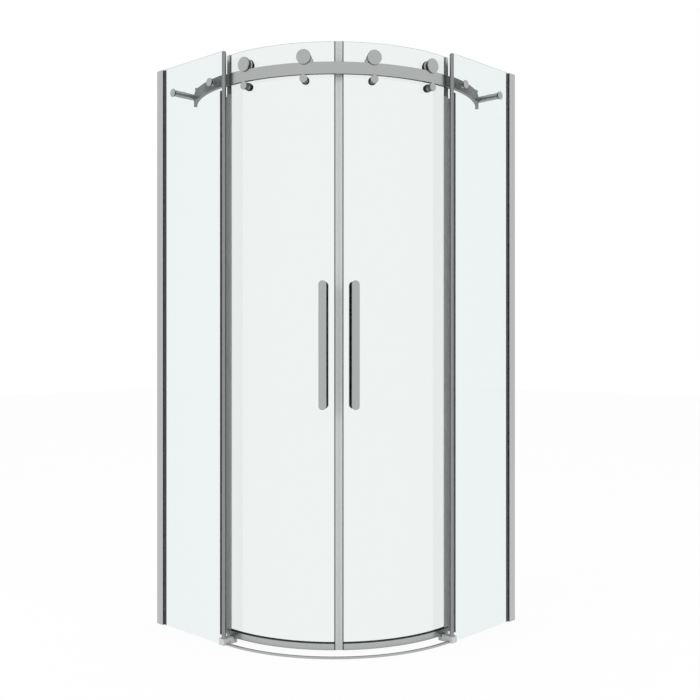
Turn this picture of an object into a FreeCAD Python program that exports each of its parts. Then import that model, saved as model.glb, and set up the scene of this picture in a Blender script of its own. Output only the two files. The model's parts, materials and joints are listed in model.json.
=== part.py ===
# Quadrant shower enclosure: two fixed glass panels at right angles, and two curved glass doors
# that roll sideways on one curved rail behind them.
#
# Frame: millimetres, +Z up, origin on the floor at the centre of the square footprint.
# The two room walls are the planes x = -450 and y = +450; the entry faces +X and -Y.
# Plan positions are given as (u, v): u is the distance from the wall at -X and v the distance
# from the wall at +Y. The left fixed panel runs along u at the largest v. The right half of the
# enclosure is the left half mirrored in the vertical plane through the wall corner and the entry.
# Angles round the door arc are measured from that plane, negative to the left.

import FreeCAD, Part
import math
import os

# ---------------------------------------------------------------- overall
OVERALL = 900.0          # wall plane to outer face, both ways
HEIGHT = 1950.0          # floor to the top of glass, channels and posts
ARC_SETBACK = 540.0      # outer face back to the centre of the door arc, both ways
GLASS_T = 8.0            # toughened glass, all panes
OVERRUN = 1.0            # how far a cut or a joined piece reaches past a face
BORE_OVERRUN = 5.0       # and a bore past the curved glass

# ---------------------------------------------------------------- wall channel and its gasket
CHANNEL_DEPTH = 33.0     # how far the channel covers the panel
CHANNEL_WALL = 1.8       # flange thickness
GASKET_LEG = 1.7         # rubber between flange and glass
CHANNEL_WEB = 2.5        # web that lies on the wall
CHANNEL_ROUND = 0.8      # rounding of the outer long edges
WALL_HOLE_D = 5.5        # screw holes in the web
WALL_HOLE_COUNT = 4
WALL_HOLE_EDGE = 160.0   # first and last hole from the ends
GASKET_BASE = 2.0        # rubber under the glass edge
GLASS_IN_CHANNEL = 12.0  # glass edge from the wall plane
KEY_HEIGHT = 5.0         # gasket keys
KEY_DEPTH = 7.0
KEY_PROUD = 0.6

# ---------------------------------------------------------------- front edge post of a fixed panel
POST_PAST_ARC = 2.0      # post axis beyond the arc centre
POST_R = 7.0
POST_BITE = 1.5          # glass edge stops this far short of the post axis
POST_HOLLOW_R = 2.0
POST_HOLLOW_OFFSET = 3.4
CAP_PLUG_LENGTH = 12.0

# ---------------------------------------------------------------- labyrinth seals
SEAL_LIFT = 10.0         # above the floor guide
SEAL_DROP = 19.0         # strips end this far under the rail
DOOR_SEAL_DROP = 5.0     # and the door's strip a little lower
FIN_CLEAR = 8.0          # fins end under the lift guards
FIN_T = 1.6
FIXED_SEAL_W = 14.0
FIXED_SEAL_T = 2.0
FIXED_FIN_OFFSET = 5.0
FIXED_FIN_GAP = 13.3     # fin tip to the outer skin of the door seal
DOOR_SEAL_T = 1.5
DOOR_SEAL_OVERLAP = 7.0  # onto the glass, beside the rear profile
DOOR_FIN_REACH = 13.0

# ---------------------------------------------------------------- curved rail
RAIL_STAND = 12.5        # door glass to the rail's inner face
RAIL_T = 12.0
RAIL_H = 38.0
RAIL_DROP = 71.0         # glass top to rail top
RAIL_END_U = 46.0        # rail end from the wall plane
RAIL_BEVEL = 0.9
STANDOFF_FROM_POST = 71.0
STANDOFF_FROM_WALL = 90.0
STANDOFF_R = 10.5
STANDOFF_CAP_R = 14.0
STANDOFF_BEVEL = 0.7
STUD_R = 4.0
STUD_GRIP = 10.0         # stud length inside the sleeve
BUSH_R = 7.0             # glass hole radius
BUSH_FLANGE_R = 12.0
BUSH_FLANGE_T = 0.8
RAIL_SCREW_R = 3.0
RAIL_SCREW_HEAD_R = 5.0
RAIL_SCREW_GRIP = 5.0
RAIL_HEAD_DEPTH = 5.0

# ---------------------------------------------------------------- doors
DOOR_SETBACK = 48.5      # outer face back to the curved glass, at the posts
REAR_PAST_SEAL = 12.0    # rear edge behind the fixed seal strip, doors shut
DOOR_WALL_CLEAR = 45.0   # rear edge to the wall plane, doors open
MEETING_GAP = 0.2        # from the symmetry plane to each meeting seal
MEETING_W = 14.5
MEETING_LIP = 2.2
MEETING_BEVEL = 0.3
MEETING_GLASS = 5.2      # glass edge from the symmetry plane
MAGNET_START = 1.2
MAGNET_W = 2.6
MAGNET_INSET = 1.2
MAGNET_END_INSET = 3.0
DOOR_FOOT = 17.0         # underside of the bottom channel
REAR_W = 15.0
REAR_LIP = 2.2
REAR_BEVEL = 0.4
REAR_CORE = 3.0          # profile beyond the glass edge
FOOT_H = 20.5            # height of the bottom channel
FOOT_WALL = 2.0
FOOT_RUBBER = 2.0
FOOT_WEB = 2.5           # web between the lower groove and the glass
GROOVE_W = 5.4           # lower groove that runs over the floor guides
GROOVE_DEPTH = 7.0
BEAD_LIP = 2.7           # glazing rubber above the channel

# ---------------------------------------------------------------- upper rollers and lift guards
ROLLER_ANGLES = (12.5, 36.3)
WHEEL_R = 17.0
WHEEL_FLANGE_R = 20.0
WHEEL_FLANGE_T = 4.0
WHEEL_FLANGE_BEVEL = 1.0
RUN_CLEAR = 0.05         # radial running clearance, wheel on axle and on rail
SIDE_CLEAR = 0.2         # end play each side of a wheel
RAIL_SIDE_CLEAR = 0.6    # wheel flange to rail
AXLE_R = 4.0
SEAT_DEPTH = 2.0         # turned pieces start this far inside the glass and are trimmed to it
AXLE_END_GRIP = 2.5
DISC_R = 23.5
DISC_T = 5.0
DISC_BEVEL = 1.0
DISC_TO_RAIL = 1.0
AXLE_IN_DISC = 3.0
SPACER_FLANGE_R = 20.5
SPACER_FLANGE_T = 6.0
SPACER_HUB_R = 8.0
INNER_CAP_R = 16.0
INNER_CAP_T = 4.0
INNER_CAP_ROUND = 1.5
INNER_CAP_SHOULDER = 0.3 # share of the rounding taken by its middle step
GUARD_GAP = 1.0          # under the rail
GUARD_R = 13.0
GUARD_WAIST_R = 11.2
GUARD_TAPER = 1.0
GUARD_EDGE = 0.8
GUARD_FRONT_T = 4.5
GUARD_CAP_R = 11.0
GUARD_CAP_T = 4.0

# ---------------------------------------------------------------- stops on the rail
STOP_LENGTH = 5.5
STOP_H = 12.0
STOP_INSET = 0.6
STOP_BEVEL = 0.8
BUMPER_T = 3.7
BUMPER_INSET = 1.5
BUMPER_TOP_DROP = 1.0
BUMPER_LIFT = 1.0        # above the rail
BUMPER_CLEAR = 0.25
STOP_SCREW_R = 1.5
STOP_HEAD_R = 2.3
STOP_HEAD_DEPTH = 1.2
STOP_SCREW_GRIP = 8.0

# ---------------------------------------------------------------- handles
HANDLE_ANGLE = 5.75      # degrees from the symmetry plane, doors shut
HANDLE_POST_CLEAR = 8.0  # handle to post, doors open
HANDLE_W = 25.0
HANDLE_T = 12.0
HANDLE_GAP = 22.5        # clear space for the fingers
HANDLE_LOW = 781.0
HANDLE_LENGTH = 408.0
HANDLE_ROUND = 1.6
HANDLE_STUD_R = 7.0
HANDLE_STUD_INSET = 54.0
HANDLE_CORE_R = 5.0

# ---------------------------------------------------------------- floor guides and threshold
GUIDE_LENGTH = 25.0
GUIDE_TOP = 21.0
GUIDE_BEVEL = 0.8
GUIDE_CLEAR = 1.5        # raised part to the door's bottom channel
GUIDE_TOE = 5.5          # low foot past the middle of the door's groove
FOOT_DROP = 4.0          # low foot under the door
RIB_CLEAR = 0.3          # guide rib to groove, each side
RIB_DROP = 2.0           # rib top under the groove's roof
GRUB_R = 2.5
GRUB_DEPTH = 6.0
GRUB_Z = 7.5
GRUB_FOOT_INSET = 8.0    # from the toe
GRUB_BLOCK_INSET = 16.0  # from the step
GRUB_SOCKET_R = 1.2
GRUB_SOCKET_DEPTH = 2.0
THRESHOLD_SETBACK = 10.0 # outer face back to the threshold's front
THRESHOLD_W = 10.0
THRESHOLD_H = 6.2
THRESHOLD_BEVEL = 1.6

# ---------------------------------------------------------------- derived
HALF = OVERALL / 2
HALF_CORNER = 45.0       # the symmetry plane halves the right angle
ORIGIN = FreeCAD.Vector(0, 0, 0)
EAST = FreeCAD.Vector(1, 0, 0)
SOUTH = FreeCAD.Vector(0, -1, 0)
UP = FreeCAD.Vector(0, 0, 1)
ARC_CENTRE = OVERALL - ARC_SETBACK
CHANNEL_T = GLASS_T + 2 * (GASKET_LEG + CHANNEL_WALL)
CHANNEL_IN = OVERALL - CHANNEL_T
PANEL_OUT = OVERALL - CHANNEL_WALL - GASKET_LEG
PANEL_IN = PANEL_OUT - GLASS_T
PANEL_MID = PANEL_OUT - GLASS_T / 2
POST_U = ARC_CENTRE + POST_PAST_ARC
PANEL_END = POST_U - POST_BITE
CAP_R = CHANNEL_T / 2
WALL_HOLE_PITCH = (HEIGHT - 2 * WALL_HOLE_EDGE) / (WALL_HOLE_COUNT - 1)
WALL_HOLE_Z = [WALL_HOLE_EDGE + i * WALL_HOLE_PITCH for i in range(WALL_HOLE_COUNT)]
DOOR_OUT = ARC_SETBACK - DOOR_SETBACK
DOOR_IN = DOOR_OUT - GLASS_T
GROOVE_MID = DOOR_IN + GLASS_T / 2
CHANNEL_FOOT_IN = DOOR_IN - FOOT_RUBBER - FOOT_WALL
CHANNEL_FOOT_OUT = DOOR_OUT + FOOT_RUBBER + FOOT_WALL
CHANNEL_FOOT_TOP = DOOR_FOOT + FOOT_H
GROOVE_TOP = DOOR_FOOT + GROOVE_DEPTH
BEAD_TOP = CHANNEL_FOOT_TOP + BEAD_LIP
DOOR_GLASS_FOOT = GROOVE_TOP + FOOT_WEB + FOOT_RUBBER
RAIL_IN = DOOR_OUT + RAIL_STAND
RAIL_OUT = RAIL_IN + RAIL_T
RAIL_MID = RAIL_IN + RAIL_T / 2
RAIL_TOP = HEIGHT - RAIL_DROP
RAIL_LOW = RAIL_TOP - RAIL_H
STANDOFF_U = (POST_U - STANDOFF_FROM_POST, STANDOFF_FROM_WALL)
STANDOFF_Z = RAIL_TOP - RAIL_H / 2
ROLLER_Z = RAIL_TOP + WHEEL_R + RUN_CLEAR
DISC_IN = RAIL_OUT + DISC_TO_RAIL
DISC_OUT = DISC_IN + DISC_T
WHEEL_FACE = RAIL_IN - RAIL_SIDE_CLEAR
WHEEL_IN = WHEEL_FACE - WHEEL_FLANGE_T
SPACER_END = WHEEL_IN - SIDE_CLEAR
GUARD_Z = RAIL_LOW - GUARD_GAP - GUARD_R
STOP_TOP = RAIL_TOP + STOP_H
BUMPER_TOP = STOP_TOP - BUMPER_TOP_DROP
SEAL_BOTTOM = GUIDE_TOP + SEAL_LIFT
SEAL_TOP = RAIL_LOW - SEAL_DROP
FIN_TOP = GUARD_Z - GUARD_R - FIN_CLEAR
FIXED_SEAL_U = POST_U - POST_R - FIXED_SEAL_W
DOOR_SKIN = DOOR_OUT + REAR_LIP + DOOR_SEAL_T
HANDLE_HIGH = HANDLE_LOW + HANDLE_LENGTH
HANDLE_MID = DOOR_OUT + HANDLE_GAP + HANDLE_T / 2
GUIDE_U1 = POST_U + POST_R
GUIDE_U0 = GUIDE_U1 - GUIDE_LENGTH
GUIDE_V_IN = ARC_CENTRE + GROOVE_MID - GUIDE_TOE
GUIDE_STEP = ARC_CENTRE + CHANNEL_FOOT_OUT + GUIDE_CLEAR
FOOT_TOP = DOOR_FOOT - FOOT_DROP
RIB_TOP = GROOVE_TOP - RIB_DROP
GRUB_V = (GUIDE_V_IN + GRUB_FOOT_INSET, GUIDE_STEP + GRUB_BLOCK_INSET)
THRESHOLD_OUT = ARC_SETBACK - THRESHOLD_SETBACK


# ---------------------------------------------------------------- helpers
def at(u, v, z=0.0):
    """Point of the model frame from its distances to the two wall planes."""
    return FreeCAD.Vector(u - HALF, HALF - v, z)


def block(u0, u1, v0, v1, z0, z1):
    """Rectangular solid between two u, two v and two z limits."""
    return Part.makeBox(u1 - u0, v1 - v0, z1 - z0, at(u0, v1, z0))


def rod_across(u, z, radius, v0, v1):
    """Cylinder along v, square to the left fixed panel."""
    return Part.makeCylinder(radius, v1 - v0, at(u, v0, z), SOUTH)


def rod_up(u, v, radius, z0, z1):
    """Vertical cylinder at a plan position."""
    return Part.makeCylinder(radius, z1 - z0, at(u, v, z0), UP)


def swing(shape, theta):
    """Move a shape drawn about the origin, radius along +X, to an angle on the door arc."""
    moved = shape.copy()
    moved.rotate(ORIGIN, UP, theta - HALF_CORNER)
    moved.translate(at(ARC_CENTRE, ARC_CENTRE))
    return moved


def sector(outline, start, end):
    """Sweep a closed (radius, height) outline round the arc centre between two angles."""
    points = [FreeCAD.Vector(radius, 0, z) for radius, z in outline]
    points.append(points[0])
    face = Part.Face(Part.makePolygon(points))
    return swing(face.revolve(ORIGIN, UP, end - start), start)


def ring_box(r0, r1, z0, z1):
    """Rectangular (radius, height) outline."""
    return [(r0, z0), (r1, z0), (r1, z1), (r0, z1)]


def bevelled_box(r0, r1, z0, z1, bevel):
    """Rectangular (radius, height) outline with all four corners bevelled."""
    return [
        (r0 + bevel, z0), (r1 - bevel, z0), (r1, z0 + bevel), (r1, z1 - bevel),
        (r1 - bevel, z1), (r0 + bevel, z1), (r0, z1 - bevel), (r0, z0 + bevel),
    ]


def drum(radius, z0=0.0, z1=HEIGHT):
    """Full upright cylinder about the arc centre."""
    return swing(Part.makeCylinder(radius, z1 - z0, FreeCAD.Vector(0, 0, z0), UP), 0.0)


def turned(outline, z):
    """Turn a closed (radial position, radius) outline about a horizontal radial axis at z."""
    points = [FreeCAD.Vector(x, 0, z + r) for x, r in outline]
    points.append(points[0])
    face = Part.Face(Part.makePolygon(points))
    return face.revolve(FreeCAD.Vector(0, 0, z), EAST, 360.0)


def radial_rod(radius, x0, x1, z):
    """Cylinder along the radius at height z, still about the origin."""
    return Part.makeCylinder(radius, x1 - x0, FreeCAD.Vector(x0, 0, z), EAST)


def arc_angle(length, radius):
    """Angle in degrees of an arc length at a radius."""
    return math.degrees(length / radius)


def angle_at(u, radius):
    """Angle from the symmetry plane, in degrees, where an arc of the left half reaches u."""
    return HALF_CORNER + math.degrees(math.asin((ARC_CENTRE - u) / radius))


def rear_angle():
    """Angle of the door's rear edge with the doors shut."""
    return angle_at(FIXED_SEAL_U - REAR_PAST_SEAL, DOOR_OUT)


def door_travel():
    """Opening angle: the handle stops short of the post, or the rear edge short of the wall."""
    handle_edge = GUIDE_U1 + HANDLE_POST_CLEAR + HANDLE_W / 2
    to_post = angle_at(handle_edge, HANDLE_MID) - HANDLE_ANGLE
    to_wall = angle_at(DOOR_WALL_CLEAR, DOOR_OUT) - rear_angle()
    return min(to_post, to_wall)


def mirrored(shape):
    """Mirror a left-hand shape into the right half."""
    return shape.mirror(ORIGIN, FreeCAD.Vector(1, 1, 0))


def group(solids):
    """One shape that keeps its solids apart."""
    return Part.makeCompound(solids)


def rounded(shape, radius, wanted):
    """Fillet the edges for which wanted(edge) is true."""
    edges = [edge for edge in shape.Edges if wanted(edge)]
    return shape.makeFillet(radius, edges)


def is_upright(edge):
    """True for a straight vertical edge."""
    first = edge.Vertexes[0].Point
    last = edge.Vertexes[-1].Point
    return abs(first.x - last.x) < 0.01 and abs(first.y - last.y) < 0.01


def save(name, shape):
    """Write one node as a STEP file."""
    shape.exportStep("parts/" + name + ".step")


def save_pair(name, shape):
    """Write a left-hand node and its mirrored right-hand node."""
    save(name + "_left", shape)
    save(name + "_right", mirrored(shape))


def save_both(name, solids):
    """Write left-hand solids and their mirror images as one node."""
    save(name, group(solids + [mirrored(solid) for solid in solids]))


# ---------------------------------------------------------------- fixed side
def wall_channel():
    """U channel on the wall: web with screw holes and two flanges."""
    body = block(0, CHANNEL_DEPTH, CHANNEL_IN, OVERALL, 0, HEIGHT)
    corners = (at(CHANNEL_DEPTH, CHANNEL_IN), at(CHANNEL_DEPTH, OVERALL))

    def outer_edge(edge):
        point = edge.Vertexes[0].Point
        return is_upright(edge) and any(
            abs(point.x - c.x) < 0.01 and abs(point.y - c.y) < 0.01 for c in corners)

    body = rounded(body, CHANNEL_ROUND, outer_edge)
    hollow = block(CHANNEL_WEB, CHANNEL_DEPTH, CHANNEL_IN + CHANNEL_WALL, OVERALL - CHANNEL_WALL, 0, HEIGHT)
    body = body.cut(hollow)
    for z in WALL_HOLE_Z:
        hole = Part.makeCylinder(WALL_HOLE_D / 2, CHANNEL_WEB, at(0, PANEL_MID, z), EAST)
        body = body.cut(hole)
    return body


def key_slots():
    """Spaces of the gasket keys in the outer leg of the gasket."""
    slots = []
    for z in (WALL_HOLE_Z[0], WALL_HOLE_Z[-1]):
        low = z - KEY_HEIGHT / 2
        slots.append(block(CHANNEL_DEPTH - KEY_DEPTH, CHANNEL_DEPTH + KEY_PROUD, PANEL_OUT,
                           OVERALL - CHANNEL_WALL, low, low + KEY_HEIGHT))
    return slots


def glazing_gasket():
    """U-shaped rubber round the glass edge, level with the channel's mouth."""
    start = GLASS_IN_CHANNEL - GASKET_BASE
    body = block(start, CHANNEL_DEPTH, CHANNEL_IN + CHANNEL_WALL, OVERALL - CHANNEL_WALL, 0, HEIGHT)
    body = body.cut(block(GLASS_IN_CHANNEL, CHANNEL_DEPTH, PANEL_IN, PANEL_OUT, 0, HEIGHT))
    for slot in key_slots():
        body = body.cut(slot)
    return body


def glass_bore(u):
    """Hole in the fixed pane for a rail standoff."""
    return rod_across(u, STANDOFF_Z, BUSH_R, PANEL_IN, PANEL_OUT)


def fixed_glass():
    """Flat pane from the wall channel to the front post, with two standoff holes."""
    pane = block(GLASS_IN_CHANNEL, PANEL_END, PANEL_IN, PANEL_OUT, 0, HEIGHT)
    for u in STANDOFF_U:
        pane = pane.cut(glass_bore(u))
    return pane


def glass_slot(z0, z1):
    """Space taken by the front edge of the fixed pane."""
    return block(GUIDE_U0 - OVERRUN, PANEL_END, PANEL_IN, PANEL_OUT, z0, z1)


def post_hollow(z0, z1):
    """Small round hollow of the post behind the glass edge."""
    return rod_up(POST_U + POST_HOLLOW_OFFSET, PANEL_MID, POST_HOLLOW_R, z0, z1)


def edge_post():
    """Round extruded post that grips the front edge of the fixed pane."""
    top = HEIGHT - CAP_R
    body = rod_up(POST_U, PANEL_MID, POST_R, GUIDE_TOP, top)
    body = body.cut(glass_slot(GUIDE_TOP, top))
    return body.cut(post_hollow(GUIDE_TOP, top))


def post_cap():
    """Domed cap, a touch wider than the post, with a plug in the post's hollow."""
    base = HEIGHT - CAP_R
    dome = Part.makeSphere(CAP_R, at(POST_U, PANEL_MID, base), UP, 0, 90, 360)
    plug = post_hollow(base - CAP_PLUG_LENGTH, base + OVERRUN)
    return dome.fuse(plug).cut(glass_slot(base - OVERRUN, HEIGHT + OVERRUN))


def fixed_seal():
    """Seal strip on the inner face of the fixed pane with one fin towards the door."""
    strip = block(FIXED_SEAL_U, FIXED_SEAL_U + FIXED_SEAL_W, PANEL_IN - FIXED_SEAL_T, PANEL_IN,
                  SEAL_BOTTOM, SEAL_TOP)
    fin_u = FIXED_SEAL_U + FIXED_FIN_OFFSET
    tip = ARC_CENTRE + DOOR_SKIN + FIXED_FIN_GAP
    fin = block(fin_u, fin_u + FIN_T, tip, PANEL_IN - FIXED_SEAL_T / 2, SEAL_BOTTOM, FIN_TOP)
    bulb = rod_up(fin_u + FIN_T / 2, tip, FIN_T, SEAL_BOTTOM, FIN_TOP)
    return strip.fuse([fin, bulb]).removeSplitter()


def floor_guide():
    """Moulded block: clamps the pane's front corner and carries the rib that guides the door."""
    raised = block(GUIDE_U0, GUIDE_U1, GUIDE_STEP, OVERALL, 0, GUIDE_TOP)
    raised = rounded(raised, GUIDE_BEVEL, is_upright)
    foot = block(GUIDE_U0, GUIDE_U1, GUIDE_V_IN, GUIDE_STEP + GUIDE_BEVEL * 2, 0, FOOT_TOP)
    body = raised.fuse(foot)
    half = GROOVE_W / 2 - RIB_CLEAR
    reach = arc_angle(GUIDE_LENGTH, GROOVE_MID)
    rib = sector(ring_box(GROOVE_MID - half, GROOVE_MID + half, FOOT_TOP - OVERRUN, RIB_TOP),
                 -HALF_CORNER - reach, -HALF_CORNER + reach)
    rib = rib.common(block(GUIDE_U0, GUIDE_U1, GUIDE_V_IN, GUIDE_STEP, 0, RIB_TOP))
    body = body.fuse(rib).removeSplitter()
    body = body.cut(block(GUIDE_U0, PANEL_END, PANEL_IN, PANEL_OUT, 0, GUIDE_TOP))
    for screw_hole in grub_spaces():
        body = body.cut(screw_hole)
    return body


def grub_spaces():
    """Blind holes of the grub screws in the end of the floor guide."""
    return [Part.makeCylinder(GRUB_R, GRUB_DEPTH, at(GUIDE_U1 - GRUB_DEPTH, v, GRUB_Z), EAST)
            for v in GRUB_V]


def guide_grubs():
    """Grub screws, each with a socket, level with the guide's end face."""
    grubs = []
    for v, space in zip(GRUB_V, grub_spaces()):
        start = at(GUIDE_U1 - GRUB_SOCKET_DEPTH, v, GRUB_Z)
        socket = Part.makeCylinder(GRUB_SOCKET_R, GRUB_SOCKET_DEPTH, start, EAST)
        grubs.append(space.cut(socket))
    return grubs


def threshold():
    """Low curved water bar on the floor between the two guides."""
    r1 = THRESHOLD_OUT
    r0 = r1 - THRESHOLD_W
    top = THRESHOLD_H
    bevel = THRESHOLD_BEVEL
    outline = [(r0, 0), (r1, 0), (r1, top - bevel), (r1 - bevel, top), (r0 + bevel, top), (r0, top - bevel)]
    bar = sector(outline, -HALF_CORNER, HALF_CORNER)
    end = block(0, GUIDE_U1, 0, OVERALL, -OVERRUN, top + OVERRUN)
    return bar.cut(end).cut(mirrored(end))


# ---------------------------------------------------------------- rail and its fixings
def rail_screw(u):
    """Screw from the rail's inner face into a standoff, its head shaped to the curved face."""
    reach = ARC_CENTRE + math.sqrt(RAIL_OUT ** 2 - (ARC_CENTRE - u) ** 2)
    seat = ARC_CENTRE + math.sqrt(RAIL_IN ** 2 - (ARC_CENTRE - u) ** 2)
    shank = rod_across(u, STANDOFF_Z, RAIL_SCREW_R, seat, reach + RAIL_SCREW_GRIP)
    head = rod_across(u, STANDOFF_Z, RAIL_SCREW_HEAD_R, seat - RAIL_HEAD_DEPTH, seat + RAIL_HEAD_DEPTH)
    return head.fuse(shank).cut(drum(RAIL_IN)).removeSplitter()


def stop_blocks():
    """Stop block, bumper and screw solids of the left half, centre stop first."""
    wheel_reach = math.sqrt(WHEEL_R ** 2 - (ROLLER_Z - BUMPER_TOP) ** 2)
    reach = arc_angle(wheel_reach + BUMPER_CLEAR, RAIL_MID)
    inner_face = ROLLER_ANGLES[0] - reach
    outer_face = ROLLER_ANGLES[1] + door_travel() + reach
    layout = ((-inner_face, 1.0), (-outer_face, -1.0))
    blocks = []
    bumpers = []
    screws = []
    for face, away in layout:
        rubber = arc_angle(BUMPER_T, RAIL_MID) * away
        metal = arc_angle(STOP_LENGTH, RAIL_MID) * away
        near = face + rubber
        far = near + metal
        bumper = ring_box(RAIL_IN + BUMPER_INSET, RAIL_OUT - BUMPER_INSET, RAIL_TOP + BUMPER_LIFT, BUMPER_TOP)
        bumpers.append(sector(bumper, min(face, near), max(face, near)))
        r0 = RAIL_IN + STOP_INSET
        r1 = RAIL_OUT - STOP_INSET
        outline = [(r0, RAIL_TOP), (r1, RAIL_TOP), (r1, STOP_TOP - STOP_BEVEL),
                   (r1 - STOP_BEVEL, STOP_TOP), (r0 + STOP_BEVEL, STOP_TOP), (r0, STOP_TOP - STOP_BEVEL)]
        screw = swing(stop_screw(), (near + far) / 2)
        blocks.append(sector(outline, min(near, far), max(near, far)).cut(screw))
        screws.append(screw)
    return blocks, bumpers, screws


def stop_screw():
    """Countersunk screw from the top of a stop down into the rail."""
    low = RAIL_TOP - STOP_SCREW_GRIP
    neck = STOP_TOP - STOP_HEAD_DEPTH
    outline = [(0, low), (STOP_SCREW_R, low), (STOP_SCREW_R, neck), (STOP_HEAD_R, STOP_TOP), (0, STOP_TOP)]
    points = [FreeCAD.Vector(RAIL_MID + r, 0, z) for r, z in outline]
    points.append(points[0])
    face = Part.Face(Part.makePolygon(points))
    return face.revolve(FreeCAD.Vector(RAIL_MID, 0, 0), UP, 360.0)


def curved_rail(screws):
    """Flat bar rolled on edge to the door arc, bored for its screws on both sides."""
    end = angle_at(RAIL_END_U, RAIL_MID)
    bar = sector(bevelled_box(RAIL_IN, RAIL_OUT, RAIL_LOW, RAIL_TOP, RAIL_BEVEL), -end, end)
    for screw in screws:
        bar = bar.cut(screw)
        bar = bar.cut(mirrored(screw))
    return bar


def standoff_stud(u):
    """Threaded stud of a standoff cap, through the glass into the sleeve."""
    inner = PANEL_IN - BUSH_FLANGE_T
    return rod_across(u, STANDOFF_Z, STUD_R, inner - STUD_GRIP, PANEL_OUT + BUSH_FLANGE_T)


def standoff_sleeve(u):
    """Round sleeve from the pane to the rail, its end shaped to the rail's outer face."""
    body = rod_across(u, STANDOFF_Z, STANDOFF_R, ARC_CENTRE, PANEL_IN - BUSH_FLANGE_T)
    body = body.cut(drum(RAIL_OUT))
    return body.cut(standoff_stud(u)).cut(rail_screw(u))


def standoff_cap(u):
    """Round cap with its stud on the outer face of the pane."""
    face = PANEL_OUT + BUSH_FLANGE_T
    disc = rod_across(u, STANDOFF_Z, STANDOFF_CAP_R, face, OVERALL)
    rim = [edge for edge in disc.Edges if abs(edge.BoundBox.YMax - (HALF - OVERALL)) < 0.01]
    disc = disc.makeChamfer(STANDOFF_BEVEL, rim)
    return disc.fuse(standoff_stud(u))


def standoff_bush(u):
    """Clear bush in the glass hole with a flange on each face."""
    outer = PANEL_OUT + BUSH_FLANGE_T
    inner = PANEL_IN - BUSH_FLANGE_T
    sleeve = rod_across(u, STANDOFF_Z, BUSH_R, inner, outer)
    front = rod_across(u, STANDOFF_Z, BUSH_FLANGE_R, PANEL_OUT, outer)
    back = rod_across(u, STANDOFF_Z, STANDOFF_R, inner, PANEL_IN)
    return sleeve.fuse([front, back]).cut(standoff_stud(u))


# ---------------------------------------------------------------- door panels
def door_bores():
    """Radial holes of one door: two rollers, two lift guards and two handle fixings."""
    start = DOOR_IN - BORE_OVERRUN
    end = DOOR_OUT + BORE_OVERRUN
    bores = []
    for theta in ROLLER_ANGLES:
        bores.append(swing(radial_rod(BUSH_R, start, end, ROLLER_Z), -theta))
        bores.append(swing(radial_rod(BUSH_R, start, end, GUARD_Z), -theta))
    for z in handle_heights():
        bores.append(swing(radial_rod(HANDLE_CORE_R, start, end, z), -HANDLE_ANGLE))
    return bores


def glass_limits():
    """Angles of the rear and the meeting edge of the left door's glass."""
    rear = -rear_angle() + arc_angle(REAR_CORE, DOOR_OUT)
    meeting = -arc_angle(MEETING_GLASS, DOOR_OUT)
    return rear, meeting


def door_glass():
    """Curved pane of the left door."""
    rear, meeting = glass_limits()
    pane = sector(ring_box(DOOR_IN, DOOR_OUT, DOOR_GLASS_FOOT, HEIGHT), rear, meeting)
    for bore in door_bores():
        pane = pane.cut(bore)
    return pane


def meeting_seal():
    """Seal on the meeting edge: grips the glass and holds a magnet strip."""
    r0 = DOOR_IN - MEETING_LIP
    r1 = DOOR_OUT + MEETING_LIP
    start = -arc_angle(MEETING_GAP + MEETING_W, DOOR_OUT)
    end = -arc_angle(MEETING_GAP, DOOR_OUT)
    body = sector(bevelled_box(r0, r1, DOOR_FOOT, HEIGHT, MEETING_BEVEL), start, end)
    glass_end = -arc_angle(MEETING_GLASS, DOOR_OUT)
    glass = sector(ring_box(DOOR_IN, DOOR_OUT, DOOR_GLASS_FOOT, HEIGHT), start, glass_end)
    return body.cut(glass).cut(meeting_magnet())


def meeting_magnet():
    """Magnet strip inside the meeting seal."""
    start = MEETING_GAP + MAGNET_START
    outline = ring_box(DOOR_IN + MAGNET_INSET, DOOR_OUT - MAGNET_INSET, DOOR_FOOT + MAGNET_END_INSET,
                       HEIGHT - MAGNET_END_INSET)
    return sector(outline, -arc_angle(start + MAGNET_W, DOOR_OUT), -arc_angle(start, DOOR_OUT))


def rear_profile():
    """Extruded edge profile on the rear edge of the curved glass."""
    front = -rear_angle() + arc_angle(REAR_W, DOOR_OUT)
    body = sector(bevelled_box(DOOR_IN - REAR_LIP, DOOR_OUT + REAR_LIP, BEAD_TOP, HEIGHT, REAR_BEVEL),
                  -rear_angle(), front)
    rear, meeting = glass_limits()
    return body.cut(sector(ring_box(DOOR_IN, DOOR_OUT, 0, HEIGHT + OVERRUN), rear, meeting))


def rear_seal():
    """Seal on the outside of the rear profile, with a fin that closes behind the fixed fin."""
    base = DOOR_OUT + REAR_LIP
    front = -rear_angle() + arc_angle(REAR_W, DOOR_OUT)
    top = SEAL_TOP - DOOR_SEAL_DROP
    strip = sector(ring_box(base, DOOR_SKIN, BEAD_TOP, top), -rear_angle(), front)
    lap = sector(ring_box(DOOR_OUT, DOOR_SKIN, BEAD_TOP, top), front,
                 front + arc_angle(DOOR_SEAL_OVERLAP, DOOR_OUT))
    fin = sector(ring_box(base, base + DOOR_FIN_REACH, BEAD_TOP, FIN_TOP), -rear_angle(),
                 -rear_angle() + arc_angle(FIN_T, DOOR_OUT))
    return strip.fuse([lap, fin]).removeSplitter()


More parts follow.
